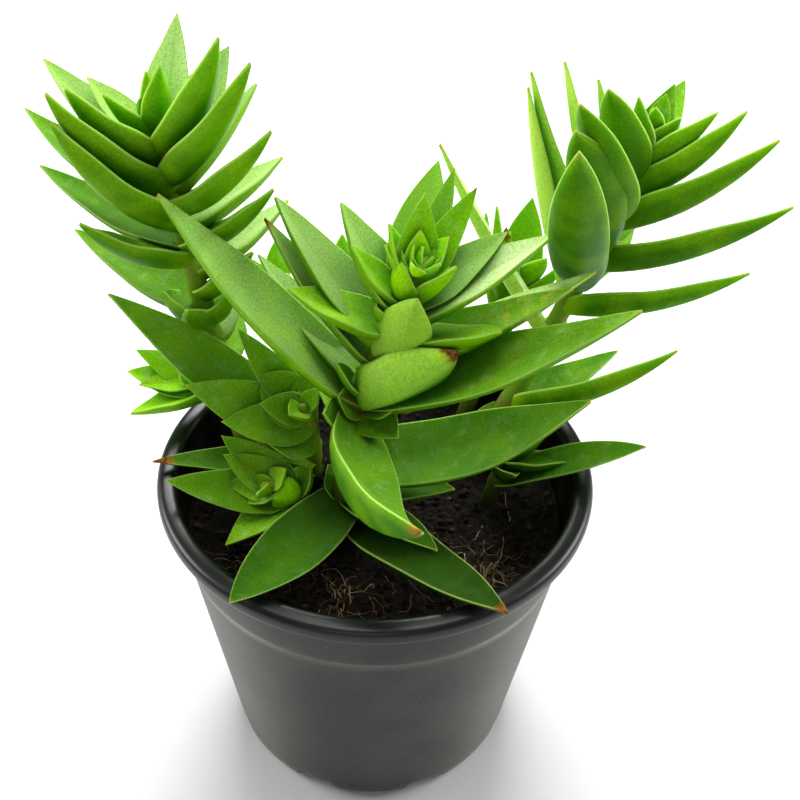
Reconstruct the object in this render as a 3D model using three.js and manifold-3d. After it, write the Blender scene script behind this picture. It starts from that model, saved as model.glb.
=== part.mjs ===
// A potted Crassula capitella: three leafy stems and seven short side rosettes, rooted in peat in a round
// 10.5 cm nursery pot. Millimetres, +Z up, the origin in the middle of the pot's underside. The front of the
// plant, as it is usually looked at, faces -Y.
import * as THREE from "three";
import { mergeVertices } from "three/addons/utils/BufferGeometryUtils.js";
import Module from "manifold-3d";

const wasm = await Module();
wasm.setup();

// Driving sizes of the pot.
const RIM_RADIUS = 52.5;
const POT_HEIGHT = 84;
const RIM_HEIGHT = 4.6;
const RIM_LIP_WIDTH = 5;
const RIM_ROUND = 1.3;
const BODY_TOP_RADIUS = 49.3;
const BASE_RADIUS = 37.6;
const BASE_CORNER = 2.4;
const FLOOR_RADIUS = 34.2;
const WALL = 1.5;
const BAND_BELOW_RIM = 12;
const BAND_STEP = 0.5;
const POT_SIDES = 48;

// Drainage slots round the foot of the pot: how many, how wide, how high up the wall and how far in.
const SLOT_COUNT = 8;
const SLOT_WIDTH = 9;
const SLOT_HEIGHT = 3.4;
const SLOT_DEPTH = 7;
const SLOT_OVERCUT = 2;

// The soil.
const SOIL_TOP = 70;
const SOIL_SWELL = 0.8;
const SOIL_BEVEL = 1.2;
const BROAD_WAVE = 0.21;
const CROSS_WAVE = 0.17;
const SHORT_WAVE = 0.37;
const SOIL_RINGS = 3;
const GAP = 0.3;

// Every stem starts this high, inside the soil, and the soil has a plain hole for it.
const STEM_FOOT = 60;
const STEM_SIDES = 6;
const STEM_STEPS = 4;
const HOLE_SIDES = 8;
const HOLE_SLACK = 1;
const HOLE_LENGTH = 0.45;

// The common form of a leaf, as shares of its length and width.
const ROOT_SHARE = 0.5;
const CLASP_SHARE = 0.82;
const CLASP_AT = 0.1;
const WIDEST_AT = 0.34;
const TIP_POWER = 1.8;
const CHANNEL = 0.22;
const THICK_SHARE = 0.28;
const THICK_LEAST = 0.9;
const THINNING = 0.84;
const THIN_POWER = 2;
const THINNEST = 0.7;
const BELLY_AT = 0.45;
const BELLY_SHARE = 0.9;
const LONG_LEAF = 29;
const LONG_STATIONS = [0, CLASP_AT, 0.4, 0.75];
const SHORT_STATIONS = [0, 0.22, 0.7];

// Each stem is a smooth bow through three points: its foot, the point it bends towards and its top. A leaf
// is written as: how far up the stem it grows, the compass direction it points in (0 is +X, 90 is +Y), its
// rise above level, its length, its width, how much it curls up along its length, how far it is rolled about
// its own length, and for a blunt leaf the power of its tip. Angles are in degrees. Leaves grow in opposite
// pairs, each pair a quarter turn from the last, and get smaller towards the top.
const SHOOTS = [
  {
    name: "shoot_left",
    stem: [[-28, 10, STEM_FOOT], [-39, 9, 112], [-48, 16, 166]],
    radius: [3.1, 1.6],
    leaves: [
      [0.3, 60, 12, 22, 10, 8, 0],
      [0.42, 95, 16, 24, 11, 8, 0],
      [0.565, -112, 37, 9, 12, 44, 0],
      [0.57, -168, 37, 11, 12, 50, 0],
      [0.57, -18, 48, 10, 11, 50, 0],
      [0.5, 75, 30, 16, 10, 15, 0],
      [0.58, 155, 18, 36, 12, 14, 0],
      [0.62, -30, 44, 22, 9, 12, 0],
      [0.715, -146, 31, 27, 12, 40, 0],
      [0.67, 40, 18, 28, 11, 12, 0],
      [0.73, 152, 12, 41, 11, 18, 0],
      [0.73, -32, 40, 33, 10, 20, 0],
      [0.795, -144, 49, 37, 12, 44, 0],
      [0.77, 36, 19, 28, 11, 12, 0],
      [0.82, 148, 14, 44, 11, 24, 0],
      [0.82, -38, 41, 40, 11, 24, 0],
      [0.865, -142, 48, 35, 12, 38, 0],
      [0.85, 38, 38, 29, 10, 10, 0],
      [0.88, 145, 26, 38, 12, 16, 0],
      [0.885, -42, 48, 44, 11, 26, 0],
      [0.915, -142, 47, 27, 12, 30, 0],
      [0.91, 50, 41, 28, 11, 8, 48],
      [0.93, 140, 23, 24, 9, 12, 0],
      [0.925, -48, 52, 41, 11, 22, 0],
      [0.955, -148, 49, 15, 7, 16, 0],
      [0.935, 66, 65, 27, 9, 8, 48],
      [0.945, 84, 46, 24, 9, 8, 27],
      [0.97, 135, 85, 12, 6, 6, 0],
      [0.955, -62, 67, 20, 7, 12, 0],
      [0.985, -140, 69, 6, 5, 6, 0],
      [0.985, 40, 83, 7, 5, 6, 0],
    ],
  },
  {
    name: "shoot_right",
    stem: [[18, 10, STEM_FOOT], [44, 22, 108], [61, 30, 160]],
    radius: [3.1, 1.5],
    leaves: [
      [0.18, 75, 10, 16, 10, 8, 0],
      [0.31, -8, 29, 44, 9, 34, -34],
      [0.3, 22, 17, 32, 11, 10, 0],
      [0.42, 62, 8, 22, 9, 10, 0],
      [0.5, 162, 56, 54, 8, 10, 0],
      [0.58, -14, 21, 43, 9, 32, -32],
      [0.61, 162, 72, 51, 9, 8, 0],
      [0.65, -108, 50, 67, 13, 30, 8, 2.6],
      [0.64, 60, 8, 36, 12, 10, 0],
      [0.69, -14, 26, 47, 10, 36, -32],
      [0.69, 165, 67, 47, 9, 8, 0],
      [0.705, -118, 55, 51, 13, 34, 10, 2.6],
      [0.73, 60, 12, 34, 12, 10, 0],
      [0.785, -14, 37, 41, 10, 34, -28],
      [0.77, 165, 69, 40, 8, 8, 0],
      [0.79, -122, 51, 48, 13, 30, 10, 2.4],
      [0.82, 60, 22, 30, 11, 10, 0],
      [0.85, -14, 45, 32, 9, 32, -26],
      [0.86, 165, 68, 26, 7, 8, 0],
      [0.875, -128, 56, 33, 12, 26, 8, 2.4],
      [0.885, 50, 53, 22, 9, 8, 0],
      [0.9, -18, 47, 22, 8, 22, -20],
      [0.915, 58, 25, 26, 9, 8, 4],
      [0.935, -135, 69, 16, 7, 14, 0],
      [0.94, -20, 55, 11, 7, 12, 0],
      [0.955, 165, 80, 7, 5, 6, 0],
      [0.965, 40, 35, 6, 5, 6, 0],
      [0.985, -120, 75, 6, 5, 5, 0],
      [0.985, 60, 55, 8, 5, 5, 0],
    ],
  },
  {
    name: "shoot_centre",
    stem: [[-8, -9, STEM_FOOT], [-7, -3, 109], [9, -8, 146]],
    radius: [3.6, 1.8],
    leaves: [
      [0.2, -119, 11, 48, 14, -8, -14, 3],
      [0.2, 60, 10, 26, 12, -6, 0],
      [0.17, -51, 13, 57, 15, 2, 4, 2.2],
      [0.2, 131, 40, 9, 10, 10, 0],
      [0.24, -12, 10, 26, 12, 8, 10],
      [0.2, -48, 12, 32, 10, -8, 0, 2.4],
      [0.32, -5, 24, 58, 19, 14, 16],
      [0.47, -78, 20, 63, 18, 50, -34, 3.2],
      [0.42, 105, 20, 40, 14, 12, 0],
      [0.48, -128, 33, 15, 10, 20, -46, 3],
      [0.495, -48, -3, 12, 10, 16, 37],
      [0.455, -98, -1, 9, 7, 20, 0, 3],
      [0.535, 175, 49, 64, 16, 14, -10],
      [0.535, -22, 35, 69, 15, 20, 26],
      [0.545, -140, 57, 15, 6, 14, -20, 2.6],
      [0.51, -130, 42, 11, 8, 20, -57, 3.4],
      [0.515, -50, 27, 12, 7, 20, 56, 3],
      [0.56, -30, 42, 29, 15, 24, -48, 3],
      [0.58, 145, 36, 38, 12, 14, 0],
      [0.62, 2, 30, 53, 11, 16, 0],
      [0.67, -6, 29, 45, 13, 16, 8],
      [0.66, 152, 45, 39, 10, 10, 0],
      [0.72, -70, 55, 25, 13, 34, 0, 2],
      [0.73, 85, 24, 27, 12, 12, 0],
      [0.735, 150, 44, 38, 14, 12, 0],
      [0.75, -20, 17, 26, 11, 22, -10, 3.4],
      [0.78, 186, 26, 24, 12, 16, 0],
      [0.8, 5, 32, 38, 13, 14, 0],
      [0.81, -140, 43, 7, 9, 14, 0],
      [0.84, 138, 48, 25, 12, 10, 0],
      [0.85, 22, 29, 27, 11, 12, 0],
      [0.865, 38, 48, 28, 8, 10, 8],
      [0.87, 168, 46, 16, 8, 12, 0],
      [0.86, 62, 43, 31, 7, 8, 0],
      [0.88, 76, 30, 34, 12, 8, -10],
      [0.885, -26, 44, 15, 8, 14, 0],
      [0.9, -112, 70, 9, 9, 22, 0, 2.4],
      [0.905, 20, 83, 22, 9, 8, -54],
      [0.92, 125, 53, 13, 6, 8, 0],
      [0.925, 36, 41, 12, 6, 8, 0],
      [0.93, 165, 54, 10, 5, 8, 0],
      [0.95, 20, 87, 11, 6, 6, -58],
      [0.94, -150, 45, 6, 4, 10, 0],
      [0.945, -30, 46, 8, 4, 6, 0],
      [0.96, 140, 51, 6, 4, 6, 0],
      [0.965, 20, 56, 6, 4, 6, 0],
      [0.975, -100, 36, 10, 4, 6, 0],
    ],
  },
  {
    name: "offset_front_left",
    stem: [[-18, -4, STEM_FOOT], [-14, -6, 84], [-26, -12, 87]],
    radius: [2.4, 1],
    leaves: [
      [0.6, -169, 16, 31, 11, 10, -13],
      [0.62, 10, 62, 8, 8, 20, 0],
      [0.66, -168, -1, 18, 10, 12, -13],
      [0.6, -140, -13, 21, 10, 6, 0],
      [0.72, -178, 36, 18, 9, 10, 4],
      [0.68, 177, 45, 22, 9, 8, 7],
      [0.68, -128, 17, 7, 9, 40, 60, 3],
      [0.84, 178, -1, 12, 8, 8, -2],
      [0.88, -160, -28, 8, 6, 8, 0],
      [0.93, 165, 0, 6, 5, 6, 0],
      [0.96, -130, 1, 4, 4, 6, 0],
      [0.93, 10, 55, 6, 6, 8, 0],
    ],
  },
  {
    name: "offset_left",
    stem: [[-17, 3, STEM_FOOT], [-13, 2, 95], [-17, -5, 105]],
    radius: [2.4, 1],
    leaves: [
      [0.32, -172, 10, 39, 9, -8, 0],
      [0.42, -177, 48, 64, 16, 6, -14],
      [0.7, -168, 30, 32, 13, 12, -30],
      [0.74, -156, 18, 22, 11, 12, -30],
      [0.66, -140, 13, 13, 13, 16, -32, 3],
      [0.74, 160, 52, 28, 9, 10, 0],
      [0.8, 165, 44, 15, 12, 14, -14, 3],
      [0.88, -160, 27, 12, 8, 10, -24],
      [0.9, 100, 50, 9, 7, 8, 0],
      [0.95, 30, 55, 6, 5, 6, 0],
      [0.93, 150, 10, 8, 6, 6, -4],
      [0.96, -120, 24, 6, 6, 6, -23],
    ],
  },
  {
    name: "offset_far_left",
    stem: [[-31, 21, STEM_FOOT], [-34, 22, 88], [-48, 18, 95]],
    radius: [2.2, 1.4],
    leaves: [
      [0.8, 0, 45, 10, 7, 10, 0],
      [0.8, 178, 11, 20, 10, 10, 0],
      [0.86, 165, 22, 18, 7, 8, 0],
      [0.8, -152, -4, 20, 10, 10, 0],
      [0.9, -172, 1, 14, 7, 8, 0],
      [0.93, 60, 50, 8, 6, 8, 0],
      [0.97, -120, 60, 6, 5, 6, 0],
    ],
  },
  {
    name: "offset_back_left",
    stem: [[-18, 34, STEM_FOOT], [-22, 38, 90], [-26, 38, 112]],
    radius: [2.2, 1.4],
    leaves: [
      [0.42, 75, 40, 11, 8, 8, 0],
      [0.5, -40, 25, 11, 7, 8, 0],
      [0.62, 110, 30, 13, 8, 8, 0],
      [0.8, 150, 48, 16, 8, 8, 0],
      [0.8, -30, 40, 12, 8, 8, 0],
      [0.85, -170, 55, 16, 8, 8, 0],
      [0.85, 10, 45, 12, 7, 8, 0],
      [0.92, 100, 69, 13, 7, 8, 0],
      [0.92, -80, 60, 9, 7, 8, 0],
    ],
  },
  {
    name: "offset_back",
    stem: [[-4, 32, STEM_FOOT], [-6, 36, 95], [-9, 37, 114]],
    radius: [2.2, 1.4],
    leaves: [
      [0.35, 70, 15, 12, 8, 8, 0],
      [0.6, 100, 30, 13, 8, 8, 0],
      [0.78, 190, 45, 11, 7, 8, 0],
      [0.88, 150, 70, 14, 6, 8, 0],
      [0.88, -30, 50, 12, 6, 8, 0],
      [0.95, 100, 66, 12, 6, 6, 0],
      [0.95, -80, 60, 9, 5, 6, 0],
    ],
  },
  {
    name: "offset_back_right",
    stem: [[20, 30, STEM_FOOT], [29, 36, 92], [35, 38, 116]],
    radius: [2.4, 1.5],
    leaves: [
      [0.42, 150, 20, 14, 8, 8, 0],
      [0.58, 70, 35, 15, 9, 8, 0],
      [0.75, 150, 76, 28, 8, 8, 0],
      [0.72, -25, 55, 26, 8, 8, 0],
      [0.8, 165, 81, 28, 7, 8, 0],
      [0.82, -110, 71, 28, 9, 10, 0],
      [0.84, 60, 70, 26, 12, 8, -25],
      [0.92, -60, 50, 18, 8, 8, 0],
      [0.95, 120, 70, 12, 7, 8, 0],
    ],
  },
  {
    name: "offset_right",
    stem: [[25, -1, STEM_FOOT], [29, 0, 78], [33, 3, 89]],
    radius: [2.2, 1.4],
    leaves: [
      [0.58, -11, 27, 38, 9, -8, 0],
      [0.7, 110, 62, 15, 8, 8, 0],
      [0.7, -70, 30, 9, 7, 8, 0],
      [0.8, -15, 12, 16, 9, 8, 0],
      [0.85, 8, 42, 14, 8, 8, 0],
      [0.8, 165, 40, 10, 7, 8, 0],
      [0.95, -60, 50, 7, 5, 6, 0],
    ],
  },
];

const toRadians = THREE.MathUtils.degToRad;

// The point and the direction of a stem at a share of its length.
function stemCurve(points) {
  const [foot, bend, top] = points.map((point) => new THREE.Vector3(...point));
  return new THREE.QuadraticBezierCurve3(foot, bend, top);
}

function solidFrom(geometry) {
  geometry.deleteAttribute("normal");
  geometry.deleteAttribute("uv");
  const merged = mergeVertices(geometry, 1e-4);
  const mesh = new wasm.Mesh({
    numProp: 3,
    vertProperties: merged.getAttribute("position").array,
    triVerts: new Uint32Array(merged.index.array),
  });
  return new wasm.Manifold(mesh);
}

function geometryFrom(solid) {
  const { vertProperties, triVerts } = solid.getMesh();
  const geometry = new THREE.BufferGeometry();
  geometry.setAttribute("position", new THREE.BufferAttribute(vertProperties, 3));
  geometry.setIndex(new THREE.BufferAttribute(triVerts, 1));
  const faceted = geometry.toNonIndexed();
  faceted.computeVertexNormals();
  return faceted;
}

// A closed skin over rings of equal size, with a flat first end and either a flat or a pointed last end.
function skin(rings, tip) {
  const positions = rings.flat().concat(tip ? [tip] : []);
  const size = rings[0].length;
  const index = [];
  for (let k = 1; k < size - 1; k += 1) {
    index.push(0, k + 1, k);
  }
  for (let ring = 0; ring < rings.length - 1; ring += 1) {
    for (let k = 0; k < size; k += 1) {
      const a = ring * size + k;
      const b = ring * size + ((k + 1) % size);
      index.push(a, b, b + size, a, b + size, a + size);
    }
  }
  const last = (rings.length - 1) * size;
  for (let k = 0; k < size; k += 1) {
    if (tip) {
      index.push(last + k, last + ((k + 1) % size), positions.length - 1);
    } else if (k > 0 && k < size - 1) {
      index.push(last, last + k, last + k + 1);
    }
  }
  const geometry = new THREE.BufferGeometry().setFromPoints(positions);
  geometry.setIndex(index);
  return geometry;
}

// A round tube along a curve, with flat ends.
function tube(curve, startRadius, endRadius, sides, steps) {
  const across = new THREE.Vector3(0, -1, 0);
  const rings = [];
  for (let step = 0; step <= steps; step += 1) {
    const share = step / steps;
    const centre = curve.getPoint(share);
    const along = curve.getTangent(share);
    const right = new THREE.Vector3().crossVectors(across, along).normalize();
    const front = new THREE.Vector3().crossVectors(along, right);
    const radius = THREE.MathUtils.lerp(startRadius, endRadius, share);
    const ring = [];
    for (let side = 0; side < sides; side += 1) {
      const angle = (2 * Math.PI * side) / sides;
      ring.push(
        centre
          .clone()
          .addScaledVector(right, radius * Math.cos(angle))
          .addScaledVector(front, radius * Math.sin(angle)),
      );
    }
    rings.push(ring);
  }
  return skin(rings);
}

// Half the width of a leaf at a share of its length, as a share of its greatest half width.
function leafOutline(share, tipPower) {
  if (share < CLASP_AT) {
    return THREE.MathUtils.lerp(ROOT_SHARE, CLASP_SHARE, share / CLASP_AT);
  }
  if (share < WIDEST_AT) {
    const rising = (share - CLASP_AT) / (WIDEST_AT - CLASP_AT);
    return CLASP_SHARE + (1 - CLASP_SHARE) * Math.sin((rising * Math.PI) / 2);
  }
  return 1 - ((share - WIDEST_AT) / (1 - WIDEST_AT)) ** tipPower;
}

function leafThickness(share, width) {
  return Math.max((THICK_LEAST + THICK_SHARE * width) * (1 - THINNING * share ** THIN_POWER), THINNEST);
}

// One fleshy, pointed leaf with a channelled upper face and a keeled underside. The curl bends it towards
// its upper face, evenly along its length, about a straight line from its root to its tip.
function leafGeometry(curve, row) {
  const [at, compass, rise, length, width, curl, roll, tipPower = TIP_POWER] = row;
  const root = curve.getPoint(at);
  const level = Math.cos(toRadians(rise));
  const chord = new THREE.Vector3(
    level * Math.cos(toRadians(compass)),
    level * Math.sin(toRadians(compass)),
    Math.sin(toRadians(rise)),
  );
  const upper = curve.getTangent(at).projectOnPlane(chord).normalize();
  upper.applyAxisAngle(chord, toRadians(roll));
  const side = new THREE.Vector3().crossVectors(upper, chord);
  const turn = toRadians(curl);
  const long = length > LONG_LEAF;
  const stations = long ? LONG_STATIONS : SHORT_STATIONS;
  // A point of the bent middle line, and the direction square to it on the upper side.
  const middle = (share) => {
    const start = -turn / 2;
    const angle = start + turn * share;
    const forward = turn ? (Math.sin(angle) - Math.sin(start)) / turn : share;
    const upward = turn ? (Math.cos(start) - Math.cos(angle)) / turn : 0;
    return root.clone().addScaledVector(chord, length * forward).addScaledVector(upper, length * upward);
  };
  const square = (share) => {
    const angle = turn * (share - 0.5);
    return upper.clone().multiplyScalar(Math.cos(angle)).addScaledVector(chord, -Math.sin(angle));
  };
  const rings = stations.map((share) => {
    const half = (leafOutline(share, tipPower) * width) / 2;
    const thick = leafThickness(share, width);
    const centre = middle(share);
    const up = square(share);
    const point = (across, height) =>
      centre.clone().addScaledVector(side, half * across).addScaledVector(up, height);
    const edge = CHANNEL * half;
    const belly = BELLY_AT ** 2 * edge - BELLY_SHARE * thick;
    const under = long ? [point(-BELLY_AT, belly), point(BELLY_AT, belly)] : [point(0, -thick)];
    return [point(1, edge), point(0, 0), point(-1, edge), ...under];
  });
  return skin(rings, middle(1));
}

// A stem with all its leaves, joined into one body.
function shootSolid(shoot) {
  const curve = stemCurve(shoot.stem);
  const [foot, top] = shoot.radius;
  const pieces = [solidFrom(tube(curve, foot, top, STEM_SIDES, STEM_STEPS))];
  for (const row of shoot.leaves) {
    pieces.push(solidFrom(leafGeometry(curve, row)));
  }
  const joined = wasm.Manifold.union(pieces);
  // The small hollows that the crowded roots close off are solid tissue, so only the outer skin is kept.
  const [body] = joined.decompose().sort((a, b) => b.volume() - a.volume());
  return body;
}

// The radius of the pot's outside at a height under its rim.
function bodyRadius(height) {
  const share = height / (POT_HEIGHT - RIM_HEIGHT);
  return THREE.MathUtils.lerp(BASE_RADIUS, BODY_TOP_RADIUS, share);
}

// The pot: one turned shell with a rolled rim, a faint band under it and slots round its foot.
function potSolid() {
  const shelf = POT_HEIGHT - RIM_HEIGHT;
  const band = shelf - BAND_BELOW_RIM;
  const lip = RIM_RADIUS - RIM_LIP_WIDTH;
  const outline = [
    [0, 0],
    [BASE_RADIUS - BASE_CORNER, 0],
    [bodyRadius(BASE_CORNER), BASE_CORNER],
    [bodyRadius(band), band],
    [bodyRadius(band) + BAND_STEP, band + BAND_STEP],
    [bodyRadius(shelf), shelf],
    [RIM_RADIUS - RIM_ROUND, shelf],
    [RIM_RADIUS, shelf + RIM_ROUND],
    [RIM_RADIUS, POT_HEIGHT - RIM_ROUND],
    [RIM_RADIUS - RIM_ROUND, POT_HEIGHT],
    [lip + RIM_ROUND, POT_HEIGHT],
    [lip, POT_HEIGHT - RIM_ROUND],
    [bodyRadius(band) - WALL, band],
    [bodyRadius(BASE_CORNER) - WALL, BASE_CORNER],
    [FLOOR_RADIUS, WALL],
    [0, WALL],
  ];
  const shell = new THREE.LatheGeometry(outline.map(([r, z]) => new THREE.Vector2(r, z)), POT_SIDES);
  shell.rotateX(Math.PI / 2);
  const slots = [];
  for (let k = 0; k < SLOT_COUNT; k += 1) {
    const slot = new THREE.BoxGeometry(SLOT_DEPTH, SLOT_WIDTH, 2 * SLOT_HEIGHT);
    slot.translate(BASE_RADIUS - SLOT_DEPTH / 2 + SLOT_OVERCUT, 0, 0);
    slot.rotateZ((2 * Math.PI * (k + 0.5)) / SLOT_COUNT);
    slots.push(solidFrom(slot));
  }
  return solidFrom(shell).subtract(wasm.Manifold.union(slots));
}

// Gentle humps of the soil's surface, level at the wall.
function soilHeight(x, y) {
  const broad = Math.sin(BROAD_WAVE * x + 1) * Math.cos(CROSS_WAVE * y);
  const short = Math.sin(SHORT_WAVE * y - BROAD_WAVE * x) / 2;
  return SOIL_TOP + SOIL_SWELL * (broad + short);
}

// The soil fills the pot, and each stem stands in a plain hole in it.
function soilSolid() {
  const shelf = POT_HEIGHT - RIM_HEIGHT;
  const inside = (height) => bodyRadius(height) - WALL - GAP;
  const edge = inside(SOIL_TOP);
  const outline = [
    [0, WALL + GAP],
    [FLOOR_RADIUS - GAP, WALL + GAP],
    [inside(BASE_CORNER + GAP), BASE_CORNER + GAP],
    [edge, SOIL_TOP - SOIL_BEVEL],
  ];
  for (let ring = 0; ring <= SOIL_RINGS; ring += 1) {
    outline.push([(edge - SOIL_BEVEL) * (1 - ring / SOIL_RINGS), SOIL_TOP]);
  }
  const fill = new THREE.LatheGeometry(outline.map(([r, z]) => new THREE.Vector2(r, z)), POT_SIDES / 2);
  fill.rotateX(Math.PI / 2);
  const position = fill.getAttribute("position");
  for (let k = 0; k < position.count; k += 1) {
    if (position.getZ(k) > SOIL_TOP - SOIL_BEVEL / 2) {
      position.setZ(k, soilHeight(position.getX(k), position.getY(k)));
    }
  }
  const holes = SHOOTS.map((shoot) => {
    const curve = stemCurve(shoot.stem);
    const radius = shoot.radius[0] + HOLE_SLACK;
    const start = curve.getPoint(0).addScaledVector(curve.getTangent(0), -HOLE_SLACK);
    const hole = new THREE.LineCurve3(start, curve.getPoint(HOLE_LENGTH));
    return solidFrom(tube(hole, radius, radius, HOLE_SIDES, 1));
  });
  return solidFrom(fill).subtract(wasm.Manifold.union(holes));
}

function material(color, roughness) {
  return new THREE.MeshStandardMaterial({ color, roughness, metalness: 0 });
}

function piece(name, solid, look) {
  const mesh = new THREE.Mesh(geometryFrom(solid), look);
  mesh.name = name;
  return mesh;
}

const plant = new THREE.Group();
plant.name = "potted_crassula_capitella";
plant.add(piece("pot", potSolid(), material(0x4a4c48, 0.5)));
plant.add(piece("soil", soilSolid(), material(0x2c241e, 0.95)));
for (const shoot of SHOOTS) {
  plant.add(piece(shoot.name, shootSolid(shoot), material(0x6b9a2f, 0.42)));
}

export default plant;
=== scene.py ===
import math

import bpy
import numpy as np
from mathutils import Matrix, Vector
from mathutils.noise import fractal


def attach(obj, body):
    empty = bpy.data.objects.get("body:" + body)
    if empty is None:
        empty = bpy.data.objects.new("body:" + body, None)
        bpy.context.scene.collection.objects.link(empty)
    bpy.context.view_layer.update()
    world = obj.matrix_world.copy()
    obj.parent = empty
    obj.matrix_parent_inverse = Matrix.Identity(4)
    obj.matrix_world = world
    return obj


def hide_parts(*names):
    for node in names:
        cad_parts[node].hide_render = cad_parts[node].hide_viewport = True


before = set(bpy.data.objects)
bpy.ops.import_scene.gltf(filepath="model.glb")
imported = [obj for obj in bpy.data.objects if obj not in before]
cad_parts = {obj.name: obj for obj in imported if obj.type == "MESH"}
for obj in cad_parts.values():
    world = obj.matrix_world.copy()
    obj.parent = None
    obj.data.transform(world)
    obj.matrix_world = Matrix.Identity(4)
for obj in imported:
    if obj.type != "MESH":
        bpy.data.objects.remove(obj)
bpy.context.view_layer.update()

MM = 0.001
SEED = 7

# The pot and the soil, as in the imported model.
RIM_RADIUS = 52.5
POT_HEIGHT = 84
RIM_HEIGHT = 4.6
RIM_LIP_WIDTH = 5
BODY_TOP_RADIUS = 49.3
BASE_RADIUS = 37.6
BASE_CORNER = 2.4
FLOOR_RADIUS = 34.2
WALL = 1.5
BAND_BELOW_RIM = 12
BAND_STEP = 0.3
SLOT_COUNT = 8
SLOT_WIDTH = 9
SLOT_HEIGHT = 3.4
SLOT_DEPTH = 7
SLOT_OVERCUT = 2
SOIL_TOP = 70
SOIL_SWELL = 0.8
BROAD_WAVE = 0.21
CROSS_WAVE = 0.17
SHORT_WAVE = 0.37
STEM_FOOT = 60
GAP = 0.3

# The common form of a leaf, as shares of its length and width.
ROOT_SHARE = 0.5
CLASP_SHARE = 0.82
CLASP_AT = 0.1
WIDEST_AT = 0.34
TIP_POWER = 1.8
CHANNEL = 0.22
THICK_SHARE = 0.28
THICK_LEAST = 0.9
THINNING = 0.84
THIN_POWER = 2
THINNEST = 0.7

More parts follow.
